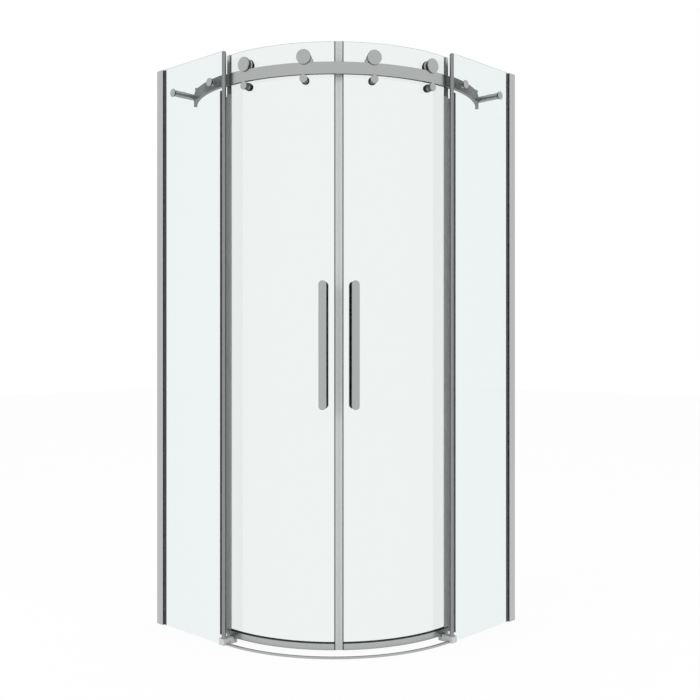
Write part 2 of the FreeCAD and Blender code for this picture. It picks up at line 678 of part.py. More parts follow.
def bottom_channel():
    """Extruded profile under the curved glass, with a groove below for the floor guides."""
    r0 = CHANNEL_FOOT_IN
    r1 = CHANNEL_FOOT_OUT
    web = GROOVE_TOP + FOOT_WEB
    groove_in = GROOVE_MID - GROOVE_W / 2
    groove_out = GROOVE_MID + GROOVE_W / 2
    outline = [
        (r0, DOOR_FOOT), (groove_in, DOOR_FOOT), (groove_in, GROOVE_TOP),
        (groove_out, GROOVE_TOP), (groove_out, DOOR_FOOT), (r1, DOOR_FOOT),
        (r1, CHANNEL_FOOT_TOP), (r1 - FOOT_WALL, CHANNEL_FOOT_TOP), (r1 - FOOT_WALL, web),
        (r0 + FOOT_WALL, web), (r0 + FOOT_WALL, CHANNEL_FOOT_TOP), (r0, CHANNEL_FOOT_TOP),
    ]
    end = -arc_angle(MEETING_GAP + MEETING_W, DOOR_OUT)
    return sector(outline, -rear_angle(), end)


def bottom_bead():
    """Black glazing rubber in the bottom channel, with a lip over each channel wall."""
    r0 = DOOR_IN - FOOT_RUBBER
    r1 = DOOR_OUT + FOOT_RUBBER
    web = GROOVE_TOP + FOOT_WEB
    end = -arc_angle(MEETING_GAP + MEETING_W, DOOR_OUT)
    outline = [
        (r0, web), (r1, web), (r1, CHANNEL_FOOT_TOP), (r1 + FOOT_WALL, CHANNEL_FOOT_TOP),
        (r1 + FOOT_WALL - BEAD_LIP / 2, BEAD_TOP), (DOOR_OUT, BEAD_TOP), (DOOR_OUT, DOOR_GLASS_FOOT),
        (DOOR_IN, DOOR_GLASS_FOOT), (DOOR_IN, BEAD_TOP), (r0 - FOOT_WALL + BEAD_LIP / 2, BEAD_TOP),
        (r0 - FOOT_WALL, CHANNEL_FOOT_TOP), (r0, CHANNEL_FOOT_TOP),
    ]
    body = sector(outline, -rear_angle(), end)
    rear, meeting = glass_limits()
    filler = sector(ring_box(DOOR_IN, DOOR_OUT, DOOR_GLASS_FOOT, BEAD_TOP), -rear_angle(), rear)
    return body.fuse(filler).removeSplitter()


# ---------------------------------------------------------------- rollers and guards
def roller_axle():
    """Plain axle from the inner cap to the outer disc."""
    return radial_rod(AXLE_R, DOOR_IN - AXLE_END_GRIP, DISC_IN + AXLE_IN_DISC, ROLLER_Z)


def roller_disc():
    """Round cover disc on the axle's end, which also keeps the wheel on the rail."""
    edge = DISC_R - DISC_BEVEL
    rim = DISC_OUT - DISC_BEVEL
    outline = [(DISC_IN, 0), (DISC_IN, DISC_R), (rim, DISC_R), (DISC_OUT, edge), (DISC_OUT, 0)]
    return turned(outline, ROLLER_Z).cut(roller_axle())


def roller_wheel():
    """Flanged wheel that runs on the top edge of the rail."""
    bore = AXLE_R + RUN_CLEAR
    outer = DISC_IN - SIDE_CLEAR
    outline = [
        (WHEEL_IN, bore), (WHEEL_IN, WHEEL_FLANGE_R - WHEEL_FLANGE_BEVEL),
        (WHEEL_IN + WHEEL_FLANGE_BEVEL, WHEEL_FLANGE_R),
        (WHEEL_FACE, WHEEL_FLANGE_R), (WHEEL_FACE, WHEEL_R), (outer, WHEEL_R), (outer, bore),
    ]
    return turned(outline, ROLLER_Z)


def roller_spacer():
    """Flanged collar between the glass and the wheel, with a sleeve through the glass."""
    seat = DOOR_OUT - SEAT_DEPTH
    flange_end = DOOR_OUT + SPACER_FLANGE_T
    flange = turned([(seat, 0), (seat, SPACER_FLANGE_R), (flange_end, SPACER_FLANGE_R),
                     (flange_end, SPACER_HUB_R), (SPACER_END, SPACER_HUB_R), (SPACER_END, 0)], ROLLER_Z)
    flange = flange.cut(Part.makeCylinder(DOOR_OUT, HEIGHT, ORIGIN, UP))
    sleeve = radial_rod(BUSH_R, DOOR_IN, DOOR_OUT + OVERRUN, ROLLER_Z)
    sleeve = sleeve.cut(Part.makeCylinder(DOOR_IN, HEIGHT, ORIGIN, UP))
    return flange.fuse(sleeve).cut(roller_axle()).removeSplitter()


def inner_cap(radius, depth, z):
    """Black rounded cap that clamps against the inner face of the curved glass."""
    back = DOOR_IN - depth
    soft = INNER_CAP_ROUND
    step = soft * INNER_CAP_SHOULDER
    outline = [(back, 0), (back, radius - soft), (back + step, radius - step),
               (back + soft, radius), (DOOR_IN + OVERRUN, radius), (DOOR_IN + OVERRUN, 0)]
    body = turned(outline, z)
    return body.common(Part.makeCylinder(DOOR_IN, HEIGHT, ORIGIN, UP))


def lift_guard():
    """Turned guard under the rail that keeps the door from being lifted off."""
    seat = DOOR_OUT - SEAT_DEPTH
    collar = RAIL_IN - GUARD_TAPER
    front = DISC_IN - SIDE_CLEAR
    end = front + GUARD_FRONT_T
    outline = [
        (seat, 0), (seat, GUARD_R), (collar, GUARD_R), (RAIL_IN, GUARD_WAIST_R),
        (front, GUARD_WAIST_R), (front, GUARD_R), (end - GUARD_EDGE, GUARD_R),
        (end, GUARD_R - GUARD_EDGE), (end, 0),
    ]
    body = turned(outline, GUARD_Z)
    body = body.cut(Part.makeCylinder(DOOR_OUT, HEIGHT, ORIGIN, UP))
    sleeve = radial_rod(BUSH_R, DOOR_IN, DOOR_OUT + OVERRUN, GUARD_Z)
    sleeve = sleeve.cut(Part.makeCylinder(DOOR_IN, HEIGHT, ORIGIN, UP))
    return body.fuse(sleeve).removeSplitter()


def each_roller(shape):
    """Place one roller piece at both roller angles of the left door."""
    return [swing(shape, -theta) for theta in ROLLER_ANGLES]


# ---------------------------------------------------------------- handles
def handle_heights():
    """Heights of the two fixings of a handle pair."""
    return HANDLE_LOW + HANDLE_STUD_INSET, HANDLE_HIGH - HANDLE_STUD_INSET


def handle_bar(x0):
    """Flat bar with half-round ends, its broad faces square to the radius."""
    radius = HANDLE_W / 2
    low = HANDLE_LOW + radius
    high = HANDLE_HIGH - radius
    bar = Part.makeBox(HANDLE_T, HANDLE_W, high - low, FreeCAD.Vector(x0, -radius, low))
    ends = [radial_rod(radius, x0, x0 + HANDLE_T, z) for z in (low, high)]
    bar = bar.fuse(ends).removeSplitter()

    def broad_rim(edge):
        box = edge.BoundBox
        return box.XLength < 0.01

    return rounded(bar, HANDLE_ROUND, broad_rim)


def handle_outer():
    """Bar on the room side of the left door."""
    return swing(handle_bar(DOOR_OUT + HANDLE_GAP), -HANDLE_ANGLE)


def handle_inner():
    """Bar on the shower side of the left door."""
    return swing(handle_bar(DOOR_IN - HANDLE_GAP - HANDLE_T), -HANDLE_ANGLE)


def handle_stud(z):
    """Round spacer stud between the two bars, waisted inside the glass."""
    stud = radial_rod(HANDLE_STUD_R, DOOR_IN - HANDLE_GAP, DOOR_OUT + HANDLE_GAP, z)
    shell = Part.makeCylinder(DOOR_OUT, HEIGHT, ORIGIN, UP)
    shell = shell.cut(Part.makeCylinder(DOOR_IN, HEIGHT, ORIGIN, UP))
    core = radial_rod(HANDLE_CORE_R, DOOR_IN - OVERRUN, DOOR_OUT + OVERRUN, z)
    return swing(stud.cut(shell).fuse(core), -HANDLE_ANGLE)


# ---------------------------------------------------------------- output
def write_fixed_side():
    """Channels, panes, posts, seals, guides and threshold."""
    save_pair("wall_channel", wall_channel())
    save_pair("glazing_gasket", glazing_gasket())
    save_both("gasket_keys", key_slots())
    save_pair("fixed_glass", fixed_glass())
    save_pair("edge_post", edge_post())
    save_both("post_caps", [post_cap()])
    save_pair("fixed_seal", fixed_seal())
    save_pair("floor_guide", floor_guide())
    save_both("guide_grubs", guide_grubs())
    save("threshold", threshold())


def write_rail():
    """Rail, stops and standoffs."""
    blocks, bumpers, stop_screws = stop_blocks()
    rail_screws = [rail_screw(u) for u in STANDOFF_U]
    save("curved_rail", curved_rail(rail_screws + stop_screws))
    save_both("rail_stops", blocks)
    save_both("stop_bumpers", bumpers)
    save_both("stop_screws", stop_screws)
    save_both("rail_screws", rail_screws)
    save_both("standoffs_short", [standoff_sleeve(STANDOFF_U[0])])
    save_both("standoffs_long", [standoff_sleeve(STANDOFF_U[1])])
    save_both("standoff_caps", [standoff_cap(u) for u in STANDOFF_U])
    save_both("standoff_bushes", [standoff_bush(u) for u in STANDOFF_U])


def write_doors():
    """Both curved doors with their rollers, guards and handles."""
    save_pair("door_glass", door_glass())
    save_pair("meeting_seal", meeting_seal())
    save_pair("meeting_magnet", meeting_magnet())
    save_pair("rear_profile", rear_profile())
    save_pair("rear_seal", rear_seal())
    save_pair("bottom_channel", bottom_channel())
    save_pair("bottom_bead", bottom_bead())
    save_pair("roller_axles", group(each_roller(roller_axle())))
    save_pair("roller_discs", group(each_roller(roller_disc())))
    save_pair("roller_spacers", group(each_roller(roller_spacer())))
    roller_cap = inner_cap(INNER_CAP_R, INNER_CAP_T, ROLLER_Z).cut(roller_axle())
    guard_cap = inner_cap(GUARD_CAP_R, GUARD_CAP_T, GUARD_Z)
    save_pair("inner_caps", group(each_roller(roller_cap) + each_roller(guard_cap)))
    save_pair("lift_guards", group(each_roller(lift_guard())))
    save_pair("handle_outer", handle_outer())
    save_pair("handle_inner", handle_inner())
    save_pair("handle_studs", group([handle_stud(z) for z in handle_heights()]))
    for place, wheel in zip(("inner", "outer"), each_roller(roller_wheel())):
        save_pair("wheel_" + place, wheel)


def main():
    """Write every node."""
    os.makedirs("parts", exist_ok=True)
    write_fixed_side()
    write_rail()
    write_doors()


main()
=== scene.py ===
"""Quadrant shower enclosure, dressed for its picture.

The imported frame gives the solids. This script gives each of them its finish, and makes the pieces
that show most, such as the rolled rail, the bent panes, the roller covers and the handles, again
as finer meshes in the same places.

The scene is in metres, the sizes in the classes are in mm, +Z is up, and the origin is on the floor
at the centre of the square footprint. Angles on the door arc are degrees from the plane that halves
the corner, negative to the left.
"""

import json
import logging
import math
from dataclasses import dataclass, field
from enum import Enum
from typing import Any, Iterable

import bmesh
import bpy
from mathutils import Matrix, Vector


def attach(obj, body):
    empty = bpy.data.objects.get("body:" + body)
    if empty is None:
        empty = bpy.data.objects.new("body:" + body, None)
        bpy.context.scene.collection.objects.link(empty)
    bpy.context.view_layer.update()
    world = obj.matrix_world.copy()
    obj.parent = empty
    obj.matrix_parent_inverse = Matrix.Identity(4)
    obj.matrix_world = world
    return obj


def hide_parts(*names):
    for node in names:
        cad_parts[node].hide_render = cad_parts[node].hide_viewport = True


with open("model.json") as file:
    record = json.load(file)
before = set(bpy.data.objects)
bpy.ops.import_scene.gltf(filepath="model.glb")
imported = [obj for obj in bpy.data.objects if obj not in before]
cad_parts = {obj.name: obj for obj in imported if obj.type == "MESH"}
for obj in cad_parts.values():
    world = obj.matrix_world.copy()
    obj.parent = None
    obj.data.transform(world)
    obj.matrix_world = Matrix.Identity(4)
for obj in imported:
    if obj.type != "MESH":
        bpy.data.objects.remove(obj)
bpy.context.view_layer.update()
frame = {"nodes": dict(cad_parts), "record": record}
log = logging.getLogger("quadrant")

Tree = bpy.types.NodeTree
Socket = bpy.types.NodeSocket
Mesh = bpy.types.Mesh
Piece = bpy.types.Object
Span = tuple[float, float]
Outline = list[Span]

MM = 0.001
WHITE = (1.0, 1.0, 1.0, 1.0)

# the curve of sRGB: a straight start up to its knee, then a power
SRGB_KNEE = 0.04045
SRGB_SLOPE = 12.92
SRGB_OFFSET = 0.055
SRGB_POWER = 2.4

# sizes that several sub-assemblies share, in mm and degrees, and the centre of the door arc in metres
HALF_CORNER = 45.0
HALF_SIDE = 450.0
TOP = 1950.0
ARC_CENTRE = Vector((-0.090, 0.090, 0.0))
GLASS_IN = 483.5
GLASS_OUT = 491.5
ROLLER_ANGLES = (12.5, 36.3)
ROLLER_AXIS = 1896.05
GUARD_AXIS = 1827.0

# most of a noise pattern lies between these two values
NOISE_SPAN = (0.3, 0.7)
# points nearer to each other than the first are merged, and nearer to an axis than the second lie on it
MERGE_MM = 0.002
ON_AXIS_MM = 1e-6


class Side(Enum):
    """One half of the enclosure, seen from the entry."""

    LEFT = "left"
    RIGHT = "right"

    @property
    def sign(self) -> float:
        """-1 on the left, +1 on the right, as angles on the door arc run."""
        return -1.0 if self is Side.LEFT else 1.0


class Grain(Enum):
    """Which way the fine lines of a surface run, as lengths in mm along X, Y and Z."""

    LEVEL = (260.0, 260.0, 1.6)
    UPRIGHT = (1.6, 1.6, 320.0)
    EVEN = (2.4, 2.4, 2.4)


# ---------------------------------------------------------------- colour and node helpers
def from_hex(code: str) -> tuple[float, float, float, float]:
    """Turn an sRGB hex colour to linear.

    Args:
        code: Six hex digits, such as "AFB2B1".

    Returns:
        Linear red, green, blue and an alpha of 1.
    """
    shares = [int(code[i:i + 2], 16) / 255.0 for i in (0, 2, 4)]
    linear = [s / SRGB_SLOPE if s <= SRGB_KNEE else
              ((s + SRGB_OFFSET) / (1.0 + SRGB_OFFSET)) ** SRGB_POWER for s in shares]
    return (linear[0], linear[1], linear[2], 1.0)


def add_node(tree: Tree, kind: str, sockets: dict[Any, Any] | None = None,
             **settings: Any) -> bpy.types.Node:
    """Add a node with its settings and links.

    Args:
        tree: The tree that takes the node.
        kind: The node's type name.
        sockets: Input name or number to a plain value, or to the output socket that feeds it.
        **settings: The node's own settings.

    Returns:
        The new node.
    """
    node = tree.nodes.new(kind)
    for key, value in settings.items():
        setattr(node, key, value)
    for key, value in (sockets or {}).items():
        if isinstance(value, Socket):
            tree.links.new(value, node.inputs[key])
        else:
            node.inputs[key].default_value = value
    return node


def ramp(tree: Tree, value: Socket, low: Any, high: Any, span: Span = (0.0, 1.0)) -> Socket:
    """Map a value from a span to another one, held at both ends.

    Args:
        tree: The tree that takes the node.
        value: Output socket of the value.
        low: Result at the start of the span, a number or an output socket.
        high: Result at its end.
        span: Start and end of the value.

    Returns:
        The output socket.
    """
    return add_node(tree, "ShaderNodeMapRange", {
        "Value": value, "From Min": span[0], "From Max": span[1], "To Min": low,
        "To Max": high}).outputs[0]


def calc(tree: Tree, operation: str, first: Any, second: Any) -> Socket:
    """Join two values with one operation of the Math node."""
    return add_node(tree, "ShaderNodeMath", {0: first, 1: second}, operation=operation).outputs[0]


def per_mm(sizes: Iterable[float]) -> tuple[float, ...]:
    """Pattern scale on Object coordinates for feature sizes in mm."""
    return tuple(1.0 / (size * MM) for size in sizes)


def noise(tree: Tree, sizes: tuple[float, float, float], detail: float, roughness: float = 0.5) -> Socket:
    """Add noise on Object coordinates.

    Args:
        tree: The tree that takes the nodes.
        sizes: Sizes of its features in mm along X, Y and Z.
        detail: How many finer layers it has.
        roughness: How strong the finer layers are.

    Returns:
        The output socket.
    """
    place = add_node(tree, "ShaderNodeTexCoord")
    scaled = add_node(tree, "ShaderNodeMapping", {"Vector": place.outputs["Object"],
                                                  "Scale": per_mm(sizes)})
    return add_node(tree, "ShaderNodeTexNoise", {
        "Vector": scaled.outputs[0], "Scale": 1.0, "Detail": detail,
        "Roughness": roughness}).outputs["Fac"]


def relief(tree: Tree, height: Socket, strength: float, depth_mm: float) -> Socket:
    """Raise a surface by a height that is worth a depth in mm."""
    return add_node(tree, "ShaderNodeBump", {"Height": height, "Strength": strength,
                                             "Distance": depth_mm * MM}).outputs[0]


def blank_material(name: str) -> tuple[bpy.types.Material, Tree]:
    """Make a node material without nodes.

    Args:
        name: Name of the finish.

    Returns:
        The material and its empty node tree.
    """
    material = bpy.data.materials.new(name)
    material.use_nodes = True
    material.node_tree.nodes.clear()
    return material, material.node_tree


def close_material(tree: Tree, sockets: dict[str, Any]) -> None:
    """End a material with its Principled shader, given by the shader's inputs."""
    shader = add_node(tree, "ShaderNodeBsdfPrincipled", sockets)
    add_node(tree, "ShaderNodeOutputMaterial", {"Surface": shader.outputs[0]})


# ---------------------------------------------------------------- finishes
@dataclass(frozen=True)
class SatinMetal:
    """Bare metal with a fine directional satin, as brushed stainless or anodised extrusions have."""

    name: str
    colour: str
    grain: Grain
    smooth: float = 0.25
    rough: float = 0.29
    metallic: float = 1.0
    line_detail: float = 3.0
    line_roughness: float = 0.6
    line_strength: float = 0.02
    line_depth_mm: float = 0.02

    def build(self) -> bpy.types.Material:
        """Make the material.

        Returns:
            The material.
        """
        material, tree = blank_material(self.name)
        lines = noise(tree, self.grain.value, self.line_detail, self.line_roughness)
        close_material(tree, {
            "Base Color": from_hex(self.colour), "Metallic": self.metallic,
            "Roughness": ramp(tree, lines, self.smooth, self.rough, NOISE_SPAN),
            "Normal": relief(tree, lines, self.line_strength, self.line_depth_mm)})
        return material


@dataclass(frozen=True)
class ToughenedGlass:
    """Clear soda-lime glass, heat toughened: a faint cool tint and hardly visible roller waves."""

    name: str
    tint: str
    wave_mm: float = 260.0
    wave_stretch: float = 1.4
    wave_strength: float = 0.5
    wave_depth_mm: float = 0.006
    gloss: float = 0.05
    ior: float = 1.5

    def build(self) -> bpy.types.Material:
        """Make the material.

        Returns:
            The material.
        """
        material, tree = blank_material(self.name)
        waves = noise(tree, (self.wave_mm, self.wave_mm, self.wave_mm * self.wave_stretch), 0.0)
        close_material(tree, {
            "Base Color": from_hex(self.tint), "Roughness": 0.0, "IOR": self.ior,
            "Specular IOR Level": self.gloss, "Transmission Weight": 1.0,
            "Normal": relief(tree, waves, self.wave_strength, self.wave_depth_mm)})
        return material


@dataclass(frozen=True)
class Polymer:
    """Moulded or extruded plastic or rubber: one colour with a faint mottle and a dulled gloss."""

    name: str
    colour: str
    shade: str
    smooth: float
    rough: float
    mottle_mm: float = 9.0
    grain: Grain = Grain.EVEN
    transmission: float = 0.0
    # glow is painted light: emission in the surface's own colour, on a surface that is no lamp
    glow: float = 0.0
    detail: float = 2.0
    skin_strength: float = 0.2
    skin_depth_mm: float = 0.06

    def build(self) -> bpy.types.Material:
        """Make the material.

        Returns:
            The material.
        """
        material, tree = blank_material(self.name)
        clouds = noise(tree, (self.mottle_mm, self.mottle_mm, self.mottle_mm), self.detail)
        skin = noise(tree, self.grain.value, self.detail)
        tone = add_node(tree, "ShaderNodeMixRGB", {0: clouds, 1: from_hex(self.colour),
                                                   2: from_hex(self.shade)})
        close_material(tree, {
            "Base Color": tone.outputs[0],
            "Roughness": ramp(tree, skin, self.smooth, self.rough, NOISE_SPAN),
            "Transmission Weight": self.transmission, "Emission Color": from_hex(self.colour),
            "Emission Strength": self.glow,
            "Normal": relief(tree, skin, self.skin_strength, self.skin_depth_mm)})
        return material


# slot of the record, or a name that NODE_FINISHES or a class below gives -> finish
FINISHES: dict[str, SatinMetal | ToughenedGlass | Polymer] = {
    # stainless flat bar, ground along its length: level satin lines
    "rail_metal": SatinMetal("stainless_satin_bar", "AFB2B1", Grain.LEVEL),
    # turned stainless: even satin without a direction
    "fitting_metal": SatinMetal("stainless_satin_turned", "AFB2B1", Grain.EVEN),
    # extruded aluminium, satin anodised: upright die lines
    "profile_metal": SatinMetal("aluminium_satin_anodised", "BBBEBD", Grain.UPRIGHT),
    # stainless bar, ground along its length
    "handle_metal": SatinMetal("stainless_satin_handle", "AFB2B1", Grain.UPRIGHT),
    # extruded aluminium bent to the arc, satin anodised: die lines along the bend
    "bent_profile": SatinMetal("aluminium_satin_bent", "B2B5B4", Grain.LEVEL),
    # stainless bar like the outer handle, coloured near black as painted shade: it stands in for the
    # shadow behind the door pane
    "inner_handle_painted_shade": SatinMetal("stainless_black_coated", "222424", Grain.EVEN, 0.35, 0.5, 0.3),
    # drawn stainless tube, ground along its length; its darker grey is painted shade for the round post's
    # shaded faces
    "post_tube_painted_shade": SatinMetal("stainless_satin_tube", "8E9190", Grain.UPRIGHT),
    # turned stainless rod, satin all over; its darker grey is painted shade for the round rods' shaded
    # faces
    "rod": SatinMetal("stainless_satin_rod", "979A99", Grain.EVEN),
    # stainless screws, tumbled
    "screw_steel": SatinMetal("stainless_plain_screw", "9A9D9C", Grain.EVEN, 0.35, 0.5),
    # clear float glass, toughened flat
    "fixed_pane_glass": ToughenedGlass("glass_toughened_flat", "F1F8F8"),
    # clear float glass, bent and toughened
    "door_pane_glass": ToughenedGlass("glass_toughened_bent", "F1F6F4"),
    # edge of toughened glass, ground and left satin; its glow is painted light that stands in for the
    # light running inside the pane
    "ground_edge_painted_glow": Polymer("glass_ground_edge", "DDEAE6", "D7E6E1", 0.35, 0.5, 3.0, glow=0.45),
    # rubber, extruded: matt black with a slight bloom
    "black_rubber": Polymer("rubber_extruded_black", "1C1E1E", "262828", 0.5, 0.7, grain=Grain.UPRIGHT),
    # flexible PVC, extruded grey
    "grey_seal": Polymer("pvc_extruded_grey", "989C9B", "A2A6A5", 0.35, 0.5, grain=Grain.UPRIGHT),
    # flexible PVC, extruded light and slightly milky
    "light_seal": Polymer("pvc_extruded_light", "B8BCBB", "C0C4C3", 0.25, 0.4, grain=Grain.UPRIGHT),
    # bonded ferrite, extruded as a strip
    "magnet": Polymer("ferrite_bonded_strip", "34302E", "2C2928", 0.5, 0.65, grain=Grain.UPRIGHT),
    # ABS, moulded black
    "black_plastic": Polymer("abs_moulded_black", "1E2020", "242626", 0.3, 0.45),
    # ABS, moulded grey
    "guide_plastic": Polymer("abs_moulded_grey", "C6C9C8", "CCCFCE", 0.35, 0.5),
    # polycarbonate, moulded clear
    "clear_plastic": Polymer("polycarbonate_moulded_clear", "E6EAE9", "E0E4E3", 0.1, 0.2,
                             transmission=0.9),
    # soft rubber, moulded grey
    "grey_rubber": Polymer("rubber_moulded_grey", "8A8D8C", "939695", 0.4, 0.55),
    # nylon, turned light
    "light_nylon": Polymer("nylon_turned_light", "CBCECD", "D1D4D3", 0.35, 0.5),
    # nylon, turned dark
    "wheel_nylon": Polymer("nylon_turned_dark", "303131", "383939", 0.35, 0.5),
}

# nodes whose finish differs from the rest of their slot; the darker post and rod greys are painted shade
NODE_FINISHES: dict[str, str] = {
    "edge_post": "post_tube_painted_shade", "post_caps": "post_tube_painted_shade", "standoffs_short": "rod",
    "standoffs_long": "rod", "stop_bumpers": "grey_rubber", "threshold": "bent_profile",
}

NODE_SLOTS: dict[str, str] = {part["node"]: part["material_slot"] for part in frame["record"]["subparts"]}


@dataclass
class Palette:
    """All finishes of the enclosure, each made once."""

    materials: dict[str, bpy.types.Material] = field(default_factory=dict)

    def of(self, finish: str) -> bpy.types.Material:
        """Give a material, made on its first use.

        Args:
            finish: A key of FINISHES.

        Returns:
            The material.
        """
        if finish not in self.materials:
            self.materials[finish] = FINISHES[finish].build()
        return self.materials[finish]

    def dress_frame(self) -> int:
        """Put the finishes on every node of the frame.

        Returns:
            How many nodes were dressed.
        """
        for name, slot in NODE_SLOTS.items():
            stem = name.removesuffix("_left").removesuffix("_right")
            for place in frame["nodes"][name].material_slots:
                place.material = self.of(NODE_FINISHES.get(stem, slot))
        return len(NODE_SLOTS)


# ---------------------------------------------------------------- meshes
def new_object(name: str, mesh: Mesh) -> Piece:
    """Put a mesh into the scene as an object at the origin.

    Args:
        name: Name of the piece.
        mesh: Its mesh, in the place where the piece stands.

    Returns:
        The new object.
    """
    piece = bpy.data.objects.new(name, mesh)
    mesh.name = name
    bpy.context.scene.collection.objects.link(piece)
    return piece


def soften(outline: Outline, radius: float, steps: int = 3, chosen: set[int] | None = None,
           flat: float = 170.0, share: float = 0.45) -> Outline:
    """Round the corners of a closed outline.

    Args:
        outline: Corners in order, in mm.
        radius: Wanted radius in mm, cut down where an edge is short.
        steps: Chords for each corner.
        chosen: Numbers of the corners to round, or None for all.
        flat: Corners opener than this angle in degrees stay as they are.
        share: Most of an edge that one corner takes.

    Returns:
        The outline with its corners rounded.
    """
    rounded: Outline = []
    for i, corner in enumerate(outline):
        here = Vector(corner)
        before = Vector(outline[i - 1]) - here
        after = Vector(outline[(i + 1) % len(outline)]) - here
        angle = before.angle(after)
        if angle > math.radians(flat) or (chosen is not None and i not in chosen):
            rounded.append(corner)
            continue
        reach = min(radius / math.tan(angle / 2.0), before.length * share, after.length * share)
        start = here + before.normalized() * reach
        end = here + after.normalized() * reach
        for step in range(steps + 1):
            t = step / steps
            point = start.lerp(here, t).lerp(here.lerp(end, t), t)
            rounded.append((point.x, point.y))
    return rounded


def soft_profile(outline: Outline, radius: float) -> Outline:
    """Round an outline that starts and ends on its axis, and leave the axis points sharp.

    Args:
        outline: Section as (place along the axis, radius) in mm.
        radius: Rounding in mm.

    Returns:
        The rounded outline.
    """
    ends = (outline[0], outline[-1])
    lead = [point for point in soften(outline, radius) if point[1] > ON_AXIS_MM and point not in ends]
    return [ends[0], *lead, ends[1]]


def box_outline(r0: float, r1: float, z0: float, z1: float) -> Outline:
    """Rectangular outline between two radii and two heights, in mm."""
    return [(r0, z0), (r1, z0), (r1, z1), (r0, z1)]


def shade(mesh: Mesh, angle: float = 32.0) -> None:
    """Shade smooth and keep edges sharper than an angle in degrees."""
    mesh.shade_smooth()
    mesh.set_sharp_from_angle(angle=math.radians(angle))


def body_of(mesh: Mesh) -> bmesh.types.BMesh:
    """Open a mesh as a bmesh.

    Args:
        mesh: The mesh, left as it is.

    Returns:
        The bmesh.
    """
    body = bmesh.new()
    body.from_mesh(mesh)
    return body


def close_mesh(body: bmesh.types.BMesh, mesh: Mesh) -> Mesh:
    """Write a bmesh to a mesh: merge doubles, turn faces outwards and shade.

    Args:
        body: The finished bmesh, freed here.
        mesh: The mesh that takes it.

    Returns:
        The same mesh.
    """
    bmesh.ops.remove_doubles(body, verts=body.verts, dist=MERGE_MM * MM)
    bmesh.ops.recalc_face_normals(body, faces=body.faces)
    body.to_mesh(mesh)
    body.free()
    shade(mesh)
    return mesh


def solid_copy(node: Piece) -> Mesh:
    """Copy the mesh of a frame node as a closed one.

    Args:
        node: The node, left as it is.

    Returns:
        The copy, without a material.
    """
    copy = close_mesh(body_of(node.data), bpy.data.meshes.new(node.name + "_copy"))
    copy.materials.clear()
    return copy


def plain_mesh(piece: Piece) -> Mesh:
    """Turn what the modifiers of an object make into its own mesh.

    Args:
        piece: The object, left without a modifier.

    Returns:
        Its new mesh.
    """
    bpy.context.view_layer.update()
    graph = bpy.context.evaluated_depsgraph_get()
    mesh = bpy.data.meshes.new_from_object(piece.evaluated_get(graph), depsgraph=graph)
    piece.modifiers.clear()
    piece.data = mesh
    return mesh


def turned(name: str, outline: Outline, height: float, steps: int = 56) -> Mesh:
    """Turn an outline about a level axis that runs along +X at a height.

    Args:
        name: Name of the mesh.
        outline: Closed outline as (place along the axis, radius) in mm.
        height: Height of the axis in mm.
        steps: Chords round the circle.

    Returns:
        The turned mesh, with the arc centre at the origin.
    """
    body = bmesh.new()
    ring = [body.verts.new((x * MM, 0.0, (height + r) * MM)) for x, r in outline]
    edges = [body.edges.new((ring[i - 1], ring[i])) for i in range(len(ring))
             if outline[i - 1][1] > 0.0 or outline[i][1] > 0.0]
    bmesh.ops.spin(body, geom=ring + edges, cent=(0.0, 0.0, height * MM), axis=(1.0, 0.0, 0.0),
                   angle=math.tau, steps=steps, use_merge=True)
    return close_mesh(body, bpy.data.meshes.new(name))


def prism(name: str, plan: Outline, low: float, high: float) -> Mesh:
    """Stand an outline upright.

    Args:
        name: Name of the mesh.
        plan: Closed outline in plan, in mm.
        low: Lower end in mm.
        high: Upper end in mm.

    Returns:
        The mesh.
    """
    body = bmesh.new()
    rings = [[body.verts.new((x * MM, y * MM, z * MM)) for x, y in plan] for z in (low, high)]
    for ring in rings:
        body.faces.new(ring)
    for i in range(len(plan)):
        body.faces.new((rings[0][i - 1], rings[0][i], rings[1][i], rings[1][i - 1]))
    return close_mesh(body, bpy.data.meshes.new(name))


def pill_bar(name: str, faces: Span, ends: Span, half: float, soft: float, steps: int = 20,
             rim_steps: int = 3) -> Mesh:
    """Make a flat bar with half-round ends and rounded rims, its broad faces square to X.

    Args:
        name: Name of the mesh.
        faces: Places of its two broad faces in mm.
        ends: Its lowest and highest point in mm.
        half: Half of its width in mm.
        soft: Rounding of the rims in mm.
        steps: Chords of each half-round end.
        rim_steps: Chords of each rim.

    Returns:
        The mesh.
    """
    body = bmesh.new()
    angles = [math.radians(90.0 * step / rim_steps) for step in range(rim_steps + 1)]
    levels = [(faces[0] + soft * (1.0 - math.cos(a)), soft * (1.0 - math.sin(a))) for a in angles]
    levels += [(faces[1] - (x - faces[0]), inset) for x, inset in reversed(levels)]
    rings = []
    for x, inset in levels:
        radius = half - inset
        ring = []
        for centre, first in ((ends[1] - half, 0.0), (ends[0] + half, math.pi)):
            for step in range(steps + 1):
                angle = first + math.pi * step / steps
                point = (x * MM, radius * math.cos(angle) * MM, (centre + radius * math.sin(angle)) * MM)
                ring.append(body.verts.new(point))
        rings.append(ring)
    for ring, after in zip(rings, rings[1:]):
        for i in range(len(ring)):
            body.faces.new((ring[i - 1], ring[i], after[i], after[i - 1]))
    body.faces.new(rings[0])
    body.faces.new(rings[-1])
    return close_mesh(body, bpy.data.meshes.new(name))


def arc_plan(side: Side, outline: Outline, skin: float) -> Outline:
    """Lay an outline of (length from the meeting plane, radius) round the door arc.

    Args:
        side: Which half.
        outline: Closed outline in mm.
        skin: Radius on which the lengths are measured.

    Returns:
        The outline in plan, in mm.
    """
    plan: Outline = []
    for length, radius in outline:
        angle = side.sign * length / skin - math.radians(HALF_CORNER)
        plan.append((ARC_CENTRE.x / MM + radius * math.cos(angle),
                     ARC_CENTRE.y / MM + radius * math.sin(angle)))
    return plan


